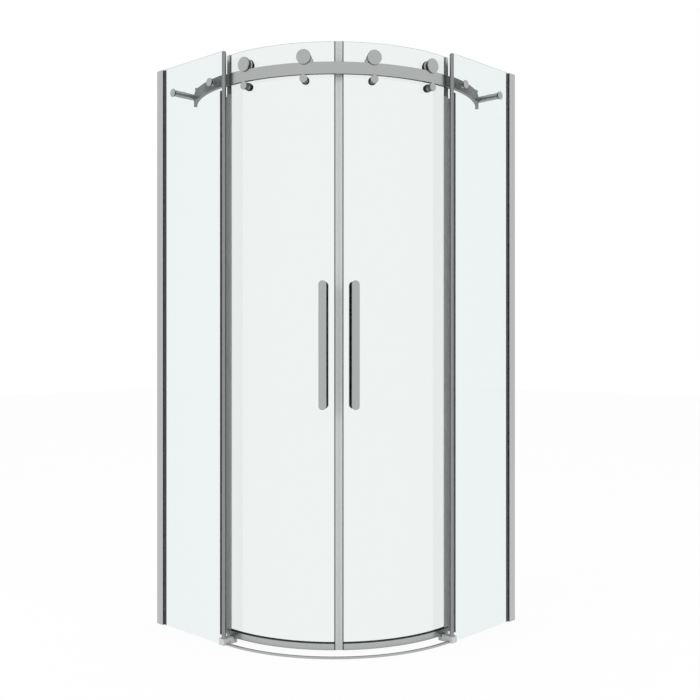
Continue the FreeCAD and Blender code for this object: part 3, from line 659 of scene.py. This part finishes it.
def wall_plan(side: Side, outline: Outline) -> Outline:
    """Lay an outline of (distance from the wall, distance out of the corner) along a fixed pane."""
    left = [(u - HALF_SIDE, HALF_SIDE - v) for u, v in outline]
    return left if side is Side.LEFT else [(-y, -x) for x, y in left]


def on_arc(theta: float) -> Matrix:
    """Move a mesh drawn about the origin, radius along +X, to an angle on the door arc."""
    return Matrix.Translation(ARC_CENTRE) @ Matrix.Rotation(math.radians(theta - HALF_CORNER), 4, "Z")


def outline_mesh(name: str, outline: Outline) -> Mesh:
    """Make a closed loop of edges for a section that a curve will sweep.

    Args:
        name: Name of the mesh.
        outline: Section as (radius, height) in mm.

    Returns:
        The loop with X out along the radius and -Y up, as a swept curve takes it.
    """
    mesh = bpy.data.meshes.new(name)
    points = [(x * MM, -y * MM, 0.0) for x, y in outline]
    mesh.from_pydata(points, [(i, (i + 1) % len(points)) for i in range(len(points))], [])
    return mesh


# ---------------------------------------------------------------- geometry nodes
# inputs of both trees: the part they run or set, where the arc's centre is, and the finish
COMMON_INPUTS = {"Part": "Object", "Centre": "Vector", "Finish": "Material"}


@dataclass
class Recipe:
    """A Geometry Nodes tree with named inputs that is baked to a plain mesh."""

    tree: Tree
    sockets: dict[str, str] = field(default_factory=dict)

    @classmethod
    def blank(cls, name: str, inputs: dict[str, str]) -> "Recipe":
        """Start a tree with its inputs and one geometry output.

        Args:
            name: Name of the tree.
            inputs: Name to socket type of the inputs that only this tree has.

        Returns:
            The recipe, whose tree still lacks its nodes.
        """
        tree = bpy.data.node_groups.new(name, "GeometryNodeTree")
        recipe = cls(tree)
        for label, kind in (inputs | COMMON_INPUTS).items():
            socket = tree.interface.new_socket(label, in_out="INPUT", socket_type="NodeSocket" + kind)
            recipe.sockets[label] = socket.identifier
        tree.interface.new_socket("Shape", in_out="OUTPUT", socket_type="NodeSocketGeometry")
        return recipe

    def close(self, shape: Socket, given: Any) -> None:
        """End the tree: the shape moved to its centre, made real and given its material.

        Args:
            shape: The geometry so far.
            given: Outputs of the tree's input node.
        """
        placed = add_node(self.tree, "GeometryNodeTransform", {"Geometry": shape,
                                                               "Translation": given["Centre"]})
        real = add_node(self.tree, "GeometryNodeRealizeInstances", {"Geometry": placed.outputs[0]})
        dressed = add_node(self.tree, "GeometryNodeSetMaterial", {"Geometry": real.outputs[0],
                                                                  "Material": given["Finish"]})
        add_node(self.tree, "NodeGroupOutput", {0: dressed.outputs[0]})

    def bake(self, name: str, part: Mesh, values: dict[str, Any]) -> Piece:
        """Run the tree once round the door arc and keep its result as a plain mesh.

        Args:
            name: Name of the piece.
            part: What the tree runs or sets round the arc.
            values: Name to value of the other inputs.

        Returns:
            The piece, without a modifier.
        """
        source = new_object(name + "_part", part)
        carrier = new_object(name + "_carrier", bpy.data.meshes.new(name + "_carrier"))
        modifier = carrier.modifiers.new("shape", "NODES")
        modifier.node_group = self.tree
        for label, value in (values | {"Part": source, "Centre": ARC_CENTRE}).items():
            modifier[self.sockets[label]] = value
        mesh = plain_mesh(carrier)
        for helper in (carrier, source):
            bpy.data.objects.remove(helper)
        return new_object(name, close_mesh(body_of(mesh), mesh))


def rolled_section() -> Recipe:
    """Build the tree that runs a section round the door arc, for bars, bent panes and extrusions.

    Returns:
        The recipe.
    """
    recipe = Recipe.blank("section_round_the_arc", {
        "Radius": "Float", "Start": "Float", "Sweep": "Float", "Chords": "Int"})
    tree = recipe.tree
    given = add_node(tree, "NodeGroupInput").outputs
    path = add_node(tree, "GeometryNodeCurveArc", {
        "Resolution": given["Chords"], "Radius": given["Radius"], "Start Angle": given["Start"],
        "Sweep Angle": given["Sweep"]})
    level = add_node(tree, "GeometryNodeSetCurveNormal", {"Curve": path.outputs["Curve"]}, mode="Z_UP")
    section = add_node(tree, "GeometryNodeObjectInfo", {"Object": given["Part"]})
    loop = add_node(tree, "GeometryNodeMeshToCurve", {"Mesh": section.outputs["Geometry"]})
    swept = add_node(tree, "GeometryNodeCurveToMesh", {
        "Curve": level.outputs[0], "Profile Curve": loop.outputs[0], "Fill Caps": True})
    recipe.close(swept.outputs[0], given)
    return recipe


def fittings_round_arc() -> Recipe:
    """Build the tree that sets one turned fitting at even steps round the door arc.

    Returns:
        The recipe.
    """
    recipe = Recipe.blank("fittings_round_the_arc", {"Count": "Int", "First": "Float", "Step": "Float"})
    tree = recipe.tree
    given = add_node(tree, "NodeGroupInput").outputs
    places = add_node(tree, "GeometryNodePoints", {"Count": given["Count"]})
    number = add_node(tree, "GeometryNodeInputIndex")
    turn = calc(tree, "MULTIPLY", number.outputs[0], given["Step"])
    spin = add_node(tree, "ShaderNodeCombineXYZ", {"Z": calc(tree, "ADD", turn, given["First"])})
    fitting = add_node(tree, "GeometryNodeObjectInfo", {"Object": given["Part"]})
    row = add_node(tree, "GeometryNodeInstanceOnPoints", {
        "Points": places.outputs[0], "Instance": fitting.outputs["Geometry"],
        "Rotation": spin.outputs[0]})
    recipe.close(row.outputs[0], given)
    return recipe


# ---------------------------------------------------------------- sub-assemblies
@dataclass
class Workshop:
    """What every sub-assembly works with: the finishes and the two trees."""

    palette: Palette
    section: Recipe
    fittings: Recipe

    def run_section(self, name: str, outline: Outline, ends: Span, finish: str,
                    chord: float = 1.0) -> Piece:
        """Run a section round the door arc.

        Args:
            name: Name of the piece.
            outline: Closed section as (radius, height) in mm.
            ends: Its two end angles in degrees, in either order.
            finish: A key of FINISHES.
            chord: Angle of one chord in degrees.

        Returns:
            The piece.
        """
        middle = sum(r for r, _ in outline) / len(outline)
        loop = outline_mesh(name + "_section", [(r - middle, z) for r, z in outline])
        first, last = min(ends), max(ends)
        return self.section.bake(name, loop, {
            "Radius": middle * MM, "Start": math.radians(first - HALF_CORNER),
            "Sweep": math.radians(last - first), "Chords": max(2, round((last - first) / chord)) + 1,
            "Finish": self.palette.of(finish)})

    def set_fittings(self, name: str, mesh: Mesh, angles: tuple[float, ...], finish: str) -> Piece:
        """Set one turned fitting at even steps round the door arc.

        Args:
            name: Name of the piece.
            mesh: The fitting, drawn about the origin with its axis along +X.
            angles: Angles of the fittings in degrees, evenly spaced.
            finish: A key of FINISHES.

        Returns:
            The piece with all its fittings.
        """
        step = angles[1] - angles[0] if len(angles) > 1 else 0.0
        return self.fittings.bake(name, mesh, {
            "Count": len(angles), "First": math.radians(angles[0] - HALF_CORNER),
            "Step": math.radians(step), "Finish": self.palette.of(finish)})

    def place(self, name: str, mesh: Mesh, finish: str) -> Piece:
        """Make a piece of a mesh that is in its place, with its finish."""
        mesh.materials.append(self.palette.of(finish))
        return new_object(name, mesh)

    def grind_edges(self, pane: Piece, level: float = 0.5) -> None:
        """Give the level edges of a pane their ground finish, which carries a painted glow.

        Args:
            pane: The pane, with one material.
            level: Least upright share of the direction that such a face looks in.
        """
        pane.data.materials.append(self.palette.of("ground_edge_painted_glow"))
        for face in pane.data.polygons:
            if abs(face.normal.z) > level:
                face.material_index = 1

    def drill(self, piece: Piece, cutters: list[Mesh]) -> None:
        """Cut holes into a piece.

        Args:
            piece: The piece, changed in place.
            cutters: Closed meshes in their places, used up here.
        """
        tools = [new_object(f"{piece.name}_cutter_{i}", mesh) for i, mesh in enumerate(cutters)]
        for tool in tools:
            cut = piece.modifiers.new("hole", "BOOLEAN")
            cut.operation = "DIFFERENCE"
            cut.solver = "EXACT"
            cut.object = tool
        shade(plain_mesh(piece))
        for tool in tools:
            bpy.data.objects.remove(tool)


def settle_normals(piece: Piece, weight: int = 100) -> None:
    """Let broad faces keep their own direction and small roundings take the turn between them.

    Args:
        piece: The piece, changed in place.
        weight: How much the area of a face counts.
    """
    weigh = piece.modifiers.new("weigh", "WEIGHTED_NORMAL")
    weigh.mode = "FACE_AREA"
    weigh.weight = weight
    weigh.keep_sharp = True
    plain_mesh(piece).name = piece.name


def hand_over(piece: Piece, body: str, slot: str, *nodes: str) -> None:
    """Settle a finished piece's normals, tie it to its body and hide the nodes it stands for.

    Args:
        piece: The finished piece.
        body: Body it rides on.
        slot: Material slot of the record, not used.
        *nodes: Nodes that it replaces.
    """
    settle_normals(piece)
    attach(piece, body)
    if nodes:
        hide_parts(*nodes)
    log.info("%s: %d faces on %s", piece.name, len(piece.data.polygons), body)


@dataclass
class CurvedRail:
    """Flat stainless bar, rolled on edge, that carries both doors, with the ears of its inner stops."""

    shop: Workshop
    inner: float = 504.0
    outer: float = 516.0
    low: float = 1841.0
    high: float = 1879.0
    end: float = 83.0
    edge: float = 1.1
    ear_inset: float = 1.5
    ear_start: float = 82.6
    ear_end: float = 86.2
    ear_rise: float = 9.5
    ear_edge: float = 0.8
    ear_chord: float = 0.2

    def stop_ears(self) -> None:
        """Set an ear on the middle side of each inner stop, where its screw goes in."""
        outline = soften(box_outline(self.inner + self.ear_inset, self.outer - self.ear_inset, self.high,
                                     self.high + self.ear_rise), self.ear_edge)
        middle = (self.inner + self.outer) / 2
        for side in Side:
            ends = (side.sign * math.degrees(self.ear_start / middle),
                    side.sign * math.degrees(self.ear_end / middle))
            piece = self.shop.run_section(f"stop_ear_{side.value}", outline, ends, "fitting_metal",
                                          self.ear_chord)
            hand_over(piece, "frame", "fitting_metal")

    def build(self) -> None:
        """Roll the bar, sink the seats of its screws and set the ears."""
        outline = soften(box_outline(self.inner, self.outer, self.low, self.high), self.edge)
        bar = self.shop.run_section("rail_bar", outline, (-self.end, self.end), "rail_metal")
        seats = [solid_copy(frame["nodes"][name]) for name in ("rail_screws", "stop_screws")]
        self.shop.drill(bar, seats)
        hand_over(bar, "frame", "rail_metal", "curved_rail")
        self.stop_ears()


@dataclass
class HalfAssembly:
    """A sub-assembly that each half of the enclosure has once."""

    shop: Workshop
    side: Side

    def own(self, stem: str) -> str:
        """Name of a piece, body or node on this side."""
        return f"{stem}_{self.side.value}"

    def turn(self, theta: float) -> float:
        """Angle on this side."""
        return self.side.sign * theta

    def to_door(self, piece: Piece, slot: str, *nodes: str) -> None:
        """Hand a piece over to this side's door, with the stems of the nodes that it replaces."""
        hand_over(piece, self.own("door"), slot, *(self.own(node) for node in nodes))


@dataclass
class RollerCarriage(HalfAssembly):
    """Two rollers and two lift guards of one door, turned parts on radial axes.

    Spans, faces, starts and ends are places on the radius of the door arc. Radii are a part's own.
    """

    bite: float = 0.2
    cover: Span = (517.0, 522.0)
    cover_radius: float = 23.5
    cover_edge: float = 0.8
    dish_radius: float = 19.0
    dish_rim: float = 0.4
    dish_depth: float = 0.3
    collar_end: float = 497.5
    collar_radius: float = 20.5
    hub_end: float = 499.2
    hub_radius: float = 8.0
    cap_face: float = 479.5
    cap_bevel: Span = (1.1, 1.0)
    cap_radius: float = 16.0
    guard_cap_radius: float = 11.0
    seat_end: float = 496.5
    guard_radius: float = 13.0
    sleeve_end: float = 503.0
    sleeve_radius: float = 11.8
    neck_start: float = 504.0
    neck_radius: float = 11.2
    head: Span = (516.8, 521.3)
    wheel: Span = (499.4, 516.8)
    wheel_bore: float = 4.05
    tread_radius: float = 17.0
    tread_edge: float = 0.4
    flange_end: float = 503.4
    flange_root: float = 16.4
    flange_seat: float = 16.6
    flange_radius: float = 20.0
    flange_edge: float = 0.6

    def turned_set(self, name: str, outline: Outline, slot: str, *nodes: str,
                   axis: float = ROLLER_AXIS, soft: float = 0.5) -> None:
        """Turn one fitting and set it at both roller angles.

        Args:
            name: Stem of the piece's name.
            outline: Section as (radial place, radius) in mm, starting and ending on the axis.
            slot: Material slot of the record.
            *nodes: Stems of the nodes that it replaces.
            axis: Height of the axis in mm.
            soft: Rounding of its corners in mm.
        """
        mesh = turned(self.own(name), soft_profile(outline, soft), axis)
        spots = tuple(self.turn(angle) for angle in ROLLER_ANGLES)
        self.to_door(self.shop.set_fittings(self.own(name), mesh, spots, slot), slot, *nodes)

    def cap(self, radius: float) -> Outline:
        """Draw a bevelled cap on the shower side of the glass.

        Args:
            radius: Its radius in mm.

        Returns:
            The section as (radial place, radius) in mm.
        """
        seat = GLASS_IN + self.bite
        return [(self.cap_face, 0.0), (self.cap_face, radius - self.cap_bevel[1]),
                (self.cap_face + self.cap_bevel[0], radius), (seat, radius), (seat, 0.0)]

    def build(self) -> None:
        """Make covers, collars, caps, guards and wheels."""
        back, face = self.cover
        dish = face - self.dish_depth
        self.turned_set("roller_cover", [
            (back, 0.0), (back, self.cover_radius), (face, self.cover_radius),
            (face, self.dish_radius + self.dish_rim), (dish, self.dish_radius), (dish, 0.0),
        ], "fitting_metal", "roller_discs", soft=self.cover_edge)
        seat = GLASS_OUT - self.bite
        self.turned_set("roller_collar", [
            (seat, 0.0), (seat, self.collar_radius), (self.collar_end, self.collar_radius),
            (self.collar_end, self.hub_radius), (self.hub_end, self.hub_radius), (self.hub_end, 0.0),
        ], "black_plastic", "roller_spacers")
        self.turned_set("roller_cap", self.cap(self.cap_radius), "black_plastic", "inner_caps")
        self.turned_set("guard_cap", self.cap(self.guard_cap_radius), "black_plastic", axis=GUARD_AXIS)
        self.turned_set("guard_seat", [
            (seat, 0.0), (seat, self.guard_radius), (self.seat_end, self.guard_radius),
            (self.seat_end, 0.0),
        ], "black_plastic", axis=GUARD_AXIS)
        neck, front = self.head
        self.turned_set("lift_guard", [
            (self.seat_end, 0.0), (self.seat_end, self.sleeve_radius),
            (self.sleeve_end, self.sleeve_radius), (self.neck_start, self.neck_radius),
            (neck, self.neck_radius), (neck, self.guard_radius), (front, self.guard_radius), (front, 0.0),
        ], "fitting_metal", "lift_guards", axis=GUARD_AXIS)
        self.wheels()

    def wheels(self) -> None:
        """Make each wheel: a nylon tread and its light flange behind the rail."""
        back, face = self.wheel
        tread = soften([(back, self.wheel_bore), (back, self.flange_seat),
                        (self.flange_end, self.flange_seat), (self.flange_end, self.tread_radius),
                        (face, self.tread_radius), (face, self.wheel_bore)], self.tread_edge, 2)
        flange = soften([(back, self.flange_root), (back, self.flange_radius),
                         (self.flange_end, self.flange_radius), (self.flange_end, self.flange_root)],
                        self.flange_edge)
        for place, angle in zip(("inner", "outer"), ROLLER_ANGLES):
            body = self.own(f"wheel_{place}")
            for part, outline, finish, nodes in (("tread", tread, "wheel_nylon", (body,)),
                                                 ("flange", flange, "light_nylon", ())):
                name = self.own(f"{part}_{place}")
                mesh = turned(name, outline, ROLLER_AXIS)
                piece = self.shop.set_fittings(name, mesh, (self.turn(angle),), finish)
                hand_over(piece, body, "wheel_nylon", *nodes)


@dataclass
class SlidingDoor(HalfAssembly):
    """One bent pane with its meeting seal, bottom profile and handles."""

    foot: float = 28.5
    rear_edge: float = 48.62
    rear_core: float = 3.0
    meeting_edge: float = 5.2
    arris: float = 0.7
    pane_chord: float = 0.75
    roller_hole: float = 7.0
    handle_hole: float = 5.0
    hole_overrun: float = 5.0
    hole_chords: int = 28
    handle_angle: float = 5.75
    stud_heights: Span = (835.0, 1135.0)
    handle_ends: Span = (781.0, 1189.0)
    handle_half: float = 12.5
    handle_thick: float = 12.0
    handle_gap: float = 22.5
    handle_round: float = 1.8
    seal_gap: float = 0.2
    seal_body: float = 11.4
    seal_end: float = 14.7
    seal_cover: float = 2.2
    seal_round: float = 1.8
    seal_steps: int = 5
    seal_foot: float = 17.0
    lip_slope: float = 0.6
    lip_tip: float = 0.9
    magnet_start: float = 1.4
    magnet_inset: float = 1.2
    channel_reach: float = 4.0
    channel_levels: tuple[float, float, float, float] = (17.0, 24.0, 26.5, 37.5)
    channel_wall: float = 2.0
    channel_edge: float = 0.5
    groove: float = 5.4

    def along(self, length: float) -> float:
        """Angle in degrees of a length in mm on the outer face."""
        return math.degrees(length / GLASS_OUT)

    def bore(self, theta: float, height: float, radius: float) -> Mesh:
        """Make a radial cutter through the pane.

        Args:
            theta: Its angle in degrees from the meeting plane.
            height: Height of its axis in mm.
            radius: Its radius in mm.

        Returns:
            The cutter.
        """
        r0, r1 = GLASS_IN - self.hole_overrun, GLASS_OUT + self.hole_overrun
        mesh = turned("bore", [(r0, 0.0), (r0, radius), (r1, radius), (r1, 0.0)], height, self.hole_chords)
        mesh.transform(on_arc(self.turn(theta)))
        return mesh

    def pane(self) -> None:
        """Bend the pane, drill it and grind its edges."""
        outline = soften(box_outline(GLASS_IN, GLASS_OUT, self.foot, TOP), self.arris, 2)
        rear = self.rear_edge - self.along(self.rear_core)
        pane = self.shop.run_section(self.own("bent_pane"), outline,
                                     (self.turn(rear), self.turn(self.along(self.meeting_edge))),
                                     "door_pane_glass", self.pane_chord)
        holes = [self.bore(theta, height, self.roller_hole)
                 for theta in ROLLER_ANGLES for height in (ROLLER_AXIS, GUARD_AXIS)]
        holes += [self.bore(self.handle_angle, height, self.handle_hole) for height in self.stud_heights]
        self.shop.drill(pane, holes)
        self.shop.grind_edges(pane)
        self.to_door(pane, "door_pane_glass", "door_glass")

    def handle(self) -> None:
        """Make the bar on the room side and the bar on the shower side."""
        outer = GLASS_OUT + self.handle_gap
        inner = GLASS_IN - self.handle_gap - self.handle_thick
        # the shower-side bar's near-black finish is painted shade for its place behind the door pane
        for name, start, finish in (("outer", outer, "handle_metal"), ("inner", inner, "inner_handle_painted_shade")):
            mesh = pill_bar(self.own(f"grip_{name}"), (start, start + self.handle_thick),
                            self.handle_ends, self.handle_half, self.handle_round)
            mesh.transform(on_arc(self.turn(self.handle_angle)))
            piece = self.shop.place(self.own(f"grip_{name}"), mesh, finish)
            self.to_door(piece, "handle_metal", f"handle_{name}")

    def strip(self, name: str, outline: Outline, slot: str, *nodes: str) -> None:
        """Stand a straight seal on the meeting edge.

        Args:
            name: Stem of the piece's name.
            outline: Section as (length from the meeting plane, radius) in mm.
            slot: Material slot of the record.
            *nodes: Stems of the nodes that it replaces.
        """
        mesh = prism(self.own(name), arc_plan(self.side, outline, GLASS_OUT), self.seal_foot, TOP)
        self.to_door(self.shop.place(self.own(name), mesh, slot), slot, *nodes)

    def meeting_edge_seal(self) -> None:
        """Make the seal on the meeting edge: a light body and two lips on the glass, whose black is
        painted shade for the dark lines along the seal's edges.
        """
        r0, r1 = GLASS_IN - self.seal_cover, GLASS_OUT + self.seal_cover
        m0, m1 = GLASS_IN + self.magnet_inset, GLASS_OUT - self.magnet_inset
        body = [(self.seal_gap, r0), (self.seal_body, r0), (self.seal_body, GLASS_IN),
                (self.meeting_edge, GLASS_IN), (self.meeting_edge, m0), (self.magnet_start, m0),
                (self.magnet_start, m1), (self.meeting_edge, m1), (self.meeting_edge, GLASS_OUT),
                (self.seal_body, GLASS_OUT), (self.seal_body, r1), (self.seal_gap, r1)]
        bulb = soften(body, self.seal_round, self.seal_steps, {0, len(body) - 1})
        self.strip("meeting_bulb", bulb, "light_seal", "meeting_seal")
        # the lips are real soft lips, coloured black as painted shade for the dark lines along the seal's
        # edges
        for name, skin, tip, out in (("outer", GLASS_OUT, r1, 1.0), ("inner", GLASS_IN, r0, -1.0)):
            lip = [(self.seal_body, skin), (self.seal_end, skin),
                   (self.seal_end, skin + out * self.lip_tip), (self.seal_body + self.lip_slope, tip),
                   (self.seal_body, tip)]
            self.strip(f"meeting_lip_{name}", lip, "black_rubber")

    def bottom_rail(self) -> None:
        """Bend the bottom channel with its groove for the floor guides."""
        low, roof, seat, high = self.channel_levels
        r0, r1 = GLASS_IN - self.channel_reach, GLASS_OUT + self.channel_reach
        w0, w1 = r0 + self.channel_wall, r1 - self.channel_wall
        middle = (GLASS_IN + GLASS_OUT) / 2
        g0, g1 = middle - self.groove / 2, middle + self.groove / 2
        outline = soften([(r0, low), (g0, low), (g0, roof), (g1, roof), (g1, low), (r1, low), (r1, high),
                          (w1, high), (w1, seat), (w0, seat), (w0, high), (r0, high)],
                         self.channel_edge, 2)
        ends = (self.turn(self.rear_edge), self.turn(self.along(self.seal_end)))
        piece = self.shop.run_section(self.own("bottom_rail"), outline, ends, "bent_profile")
        self.to_door(piece, "profile_metal", "bottom_channel")

    def build(self) -> None:
        """Make the door's main pieces."""
        self.pane()
        self.handle()
        self.meeting_edge_seal()
        self.bottom_rail()


@dataclass
class FixedSide(HalfAssembly):
    """One flat pane and the rubber lips that stand out of its wall channel."""

    mouth: float = 33.0
    pane_in: float = 888.5
    pane_out: float = 896.5
    inner_reach: float = 12.2
    outer_reach: float = 1.6
    thick: float = 1.5
    tip: float = 0.5
    low: float = 1.0
    high: float = 1949.0

    def build(self) -> None:
        """Grind the pane's edges and make the lips on both its faces."""
        copy = solid_copy(frame["nodes"][self.own("fixed_glass")])
        pane = self.shop.place(self.own("flat_pane"), copy, "fixed_pane_glass")
        self.shop.grind_edges(pane)
        hand_over(pane, "frame", "fixed_pane_glass", self.own("fixed_glass"))
        for stem, skin, out, reach in (("wedge_lip_outer", self.pane_out, 1.0, self.outer_reach),
                                       ("wedge_lip_inner", self.pane_in, -1.0, self.inner_reach)):
            end = self.mouth + reach
            lip = [(self.mouth, skin), (end, skin), (end, skin + out * self.tip),
                   (self.mouth, skin + out * self.thick)]
            mesh = prism(self.own(stem), wall_plan(self.side, lip), self.low, self.high)
            hand_over(self.shop.place(self.own(stem), mesh, "black_rubber"), "frame", "black_rubber")


# ---------------------------------------------------------------- studio
def sight_of(tree: Tree, path: bpy.types.Node) -> Socket:
    """Give 1 for rays that show a thing to the eye, in metal or through glass, and 0 for lighting.

    Args:
        tree: The tree that takes the nodes.
        path: Its Light Path node.

    Returns:
        The output socket.
    """
    seen = path.outputs["Is Camera Ray"]
    for name in ("Is Glossy Ray", "Is Transmission Ray"):
        seen = calc(tree, "MAXIMUM", seen, path.outputs[name])
    return seen


def mirror_signs(tree: Tree, path: bpy.types.Node) -> tuple[Socket, Socket]:
    """Tell rays that a surface has mirrored, and those of them that then left through a pane.

    Args:
        tree: The tree that takes the nodes.
        path: Its Light Path node.

    Returns:
        Two output sockets, each 0 or 1.
    """
    mirrored = calc(tree, "MINIMUM", path.outputs["Glossy Depth"], 1.0)
    return mirrored, calc(tree, "MULTIPLY", mirrored, path.outputs["Is Transmission Ray"])


@dataclass(frozen=True)
class Lamp:
    """Square soft lamp that looks at the middle of the object, in metres and watts."""

    name: str
    place: tuple[float, float, float]
    size: float
    watts: float

    def hang(self) -> None:
        """Put the lamp into the scene, where neither metal nor glass shows it."""
        data = bpy.data.lights.new(self.name, "AREA")
        data.size = self.size
        data.energy = self.watts
        lamp = bpy.data.objects.new(self.name, data)
        lamp.location = self.place
        aim = Vector((0.0, 0.0, 1.0)) - lamp.location
        lamp.rotation_euler = aim.to_track_quat("-Z", "Y").to_euler()
        lamp.visible_glossy = False
        lamp.visible_transmission = False
        bpy.context.scene.collection.objects.link(lamp)


@dataclass
class Studio:
    """Pale floor, soft lamps, white surround and the camera of the picture, in metres."""

    eye: tuple[float, float, float] = (2.359, -2.436, 1.002)
    look_yaw: float = 43.22
    lens_mm: float = 49.01
    sensor_mm: float = 36.0
    shift: Span = (-0.00199, -0.01454)
    floor_half: float = 14.0
    floor_colour: str = "F4F4F4"
    floor_glow: float = 0.93
    room_level: float = 0.85
    through_glass: float = 0.25
    back_level: float = 0.22
    room_back: Span = (-0.80, -0.20)
    floor_back: Span = (-6.0, -2.5)
    lamps: tuple[Lamp, ...] = (Lamp("key_lamp", (-1.2, -4.2, 3.2), 2.4, 70.0),
                               Lamp("fill_lamp", (4.2, 0.6, 2.6), 2.4, 40.0))

    def back_share(self, tree: Tree, where: Socket, mirrored: Socket, span: Span) -> Socket:
        """Dim what metal mirrors of the side behind the object.

        Args:
            tree: The tree that takes the nodes.
            where: Output socket of a direction or a place.
            mirrored: Output socket that is 1 for mirrored rays.
            span: Where along the entry's direction the dimming is full and where it ends.

        Returns:
            Output socket of the share of light that is left.
        """
        entry = Vector((self.eye[0], self.eye[1], 0.0)).normalized()
        ahead = add_node(tree, "ShaderNodeVectorMath", {0: where, 1: entry}, operation="DOT_PRODUCT")
        return ramp(tree, mirrored, 1.0, ramp(tree, ahead.outputs["Value"], self.back_level, 1.0, span))

    def white_world(self) -> None:
        """Surround that reads white to the eye, in metal and through glass, and lights evenly.

        Metal that mirrors the room through a pane picks up only part of it, as in the picture.
        """
        world = bpy.data.worlds.new("studio_surround")
        bpy.context.scene.world = world
        world.use_nodes = True
        tree = world.node_tree
        tree.nodes.clear()
        path = add_node(tree, "ShaderNodeLightPath")
        mirrored, through = mirror_signs(tree, path)
        level = ramp(tree, sight_of(tree, path), self.room_level, 1.0)
        dimmed = ramp(tree, through, level, self.through_glass)
        way = add_node(tree, "ShaderNodeTexCoord").outputs["Generated"]
        strength = calc(tree, "MULTIPLY", dimmed, self.back_share(tree, way, mirrored, self.room_back))
        light = add_node(tree, "ShaderNodeBackground", {"Color": WHITE, "Strength": strength})
        add_node(tree, "ShaderNodeOutputWorld", {"Surface": light.outputs[0]})

    def floor(self) -> None:
        """Pale floor that stays white to the eye and keeps the object's shadow."""
        half = self.floor_half
        mesh = bpy.data.meshes.new("studio_floor")
        corners = [(-half, -half, 0.0), (half, -half, 0.0), (half, half, 0.0), (-half, half, 0.0)]
        mesh.from_pydata(corners, [], [(0, 1, 2, 3)])
        floor = new_object("studio_floor", mesh)
        material, tree = blank_material("floor_pale_matt")
        path = add_node(tree, "ShaderNodeLightPath")
        glow_share = ramp(tree, path.outputs["Is Transmission Ray"], self.floor_glow, 1.0)
        share = calc(tree, "MULTIPLY", sight_of(tree, path), glow_share)
        mirrored, through = mirror_signs(tree, path)
        place = add_node(tree, "ShaderNodeTexCoord").outputs["Object"]
        ahead = self.back_share(tree, place, mirrored, self.floor_back)
        level = ramp(tree, through, ahead, self.through_glass)
        matt = add_node(tree, "ShaderNodeBsdfDiffuse", {"Color": from_hex(self.floor_colour)})
        glow = add_node(tree, "ShaderNodeEmission", {"Color": WHITE, "Strength": level})
        mixed = add_node(tree, "ShaderNodeMixShader", {0: share, 1: matt.outputs[0], 2: glow.outputs[0]})
        add_node(tree, "ShaderNodeOutputMaterial", {"Surface": mixed.outputs[0]})
        mesh.materials.append(material)

    def camera(self) -> None:
        """Level camera at the place the picture was taken from."""
        data = bpy.data.cameras.new("picture_camera")
        data.lens = self.lens_mm
        data.sensor_width = self.sensor_mm
        data.shift_x, data.shift_y = self.shift
        camera = bpy.data.objects.new("picture_camera", data)
        camera.location = self.eye
        camera.rotation_euler = (math.radians(90.0), 0.0, math.radians(self.look_yaw))
        bpy.context.scene.collection.objects.link(camera)
        bpy.context.scene.camera = camera

    def set_up(self) -> None:
        """Build the whole studio."""
        bpy.context.scene.view_settings.view_transform = "Standard"
        self.white_world()
        self.floor()
        for lamp in self.lamps:
            lamp.hang()
        self.camera()


def main() -> None:
    """Build the pieces in order and report each."""
    logging.basicConfig(level=logging.INFO, format="%(name)s: %(message)s")
    Studio().set_up()
    log.info("studio ready")
    palette = Palette()
    log.info("frame nodes dressed: %d", palette.dress_frame())
    shop = Workshop(palette, rolled_section(), fittings_round_arc())
    CurvedRail(shop).build()
    for side in Side:
        FixedSide(shop, side).build()
        SlidingDoor(shop, side).build()
        RollerCarriage(shop, side).build()


if __name__ == "__main__":
    main()
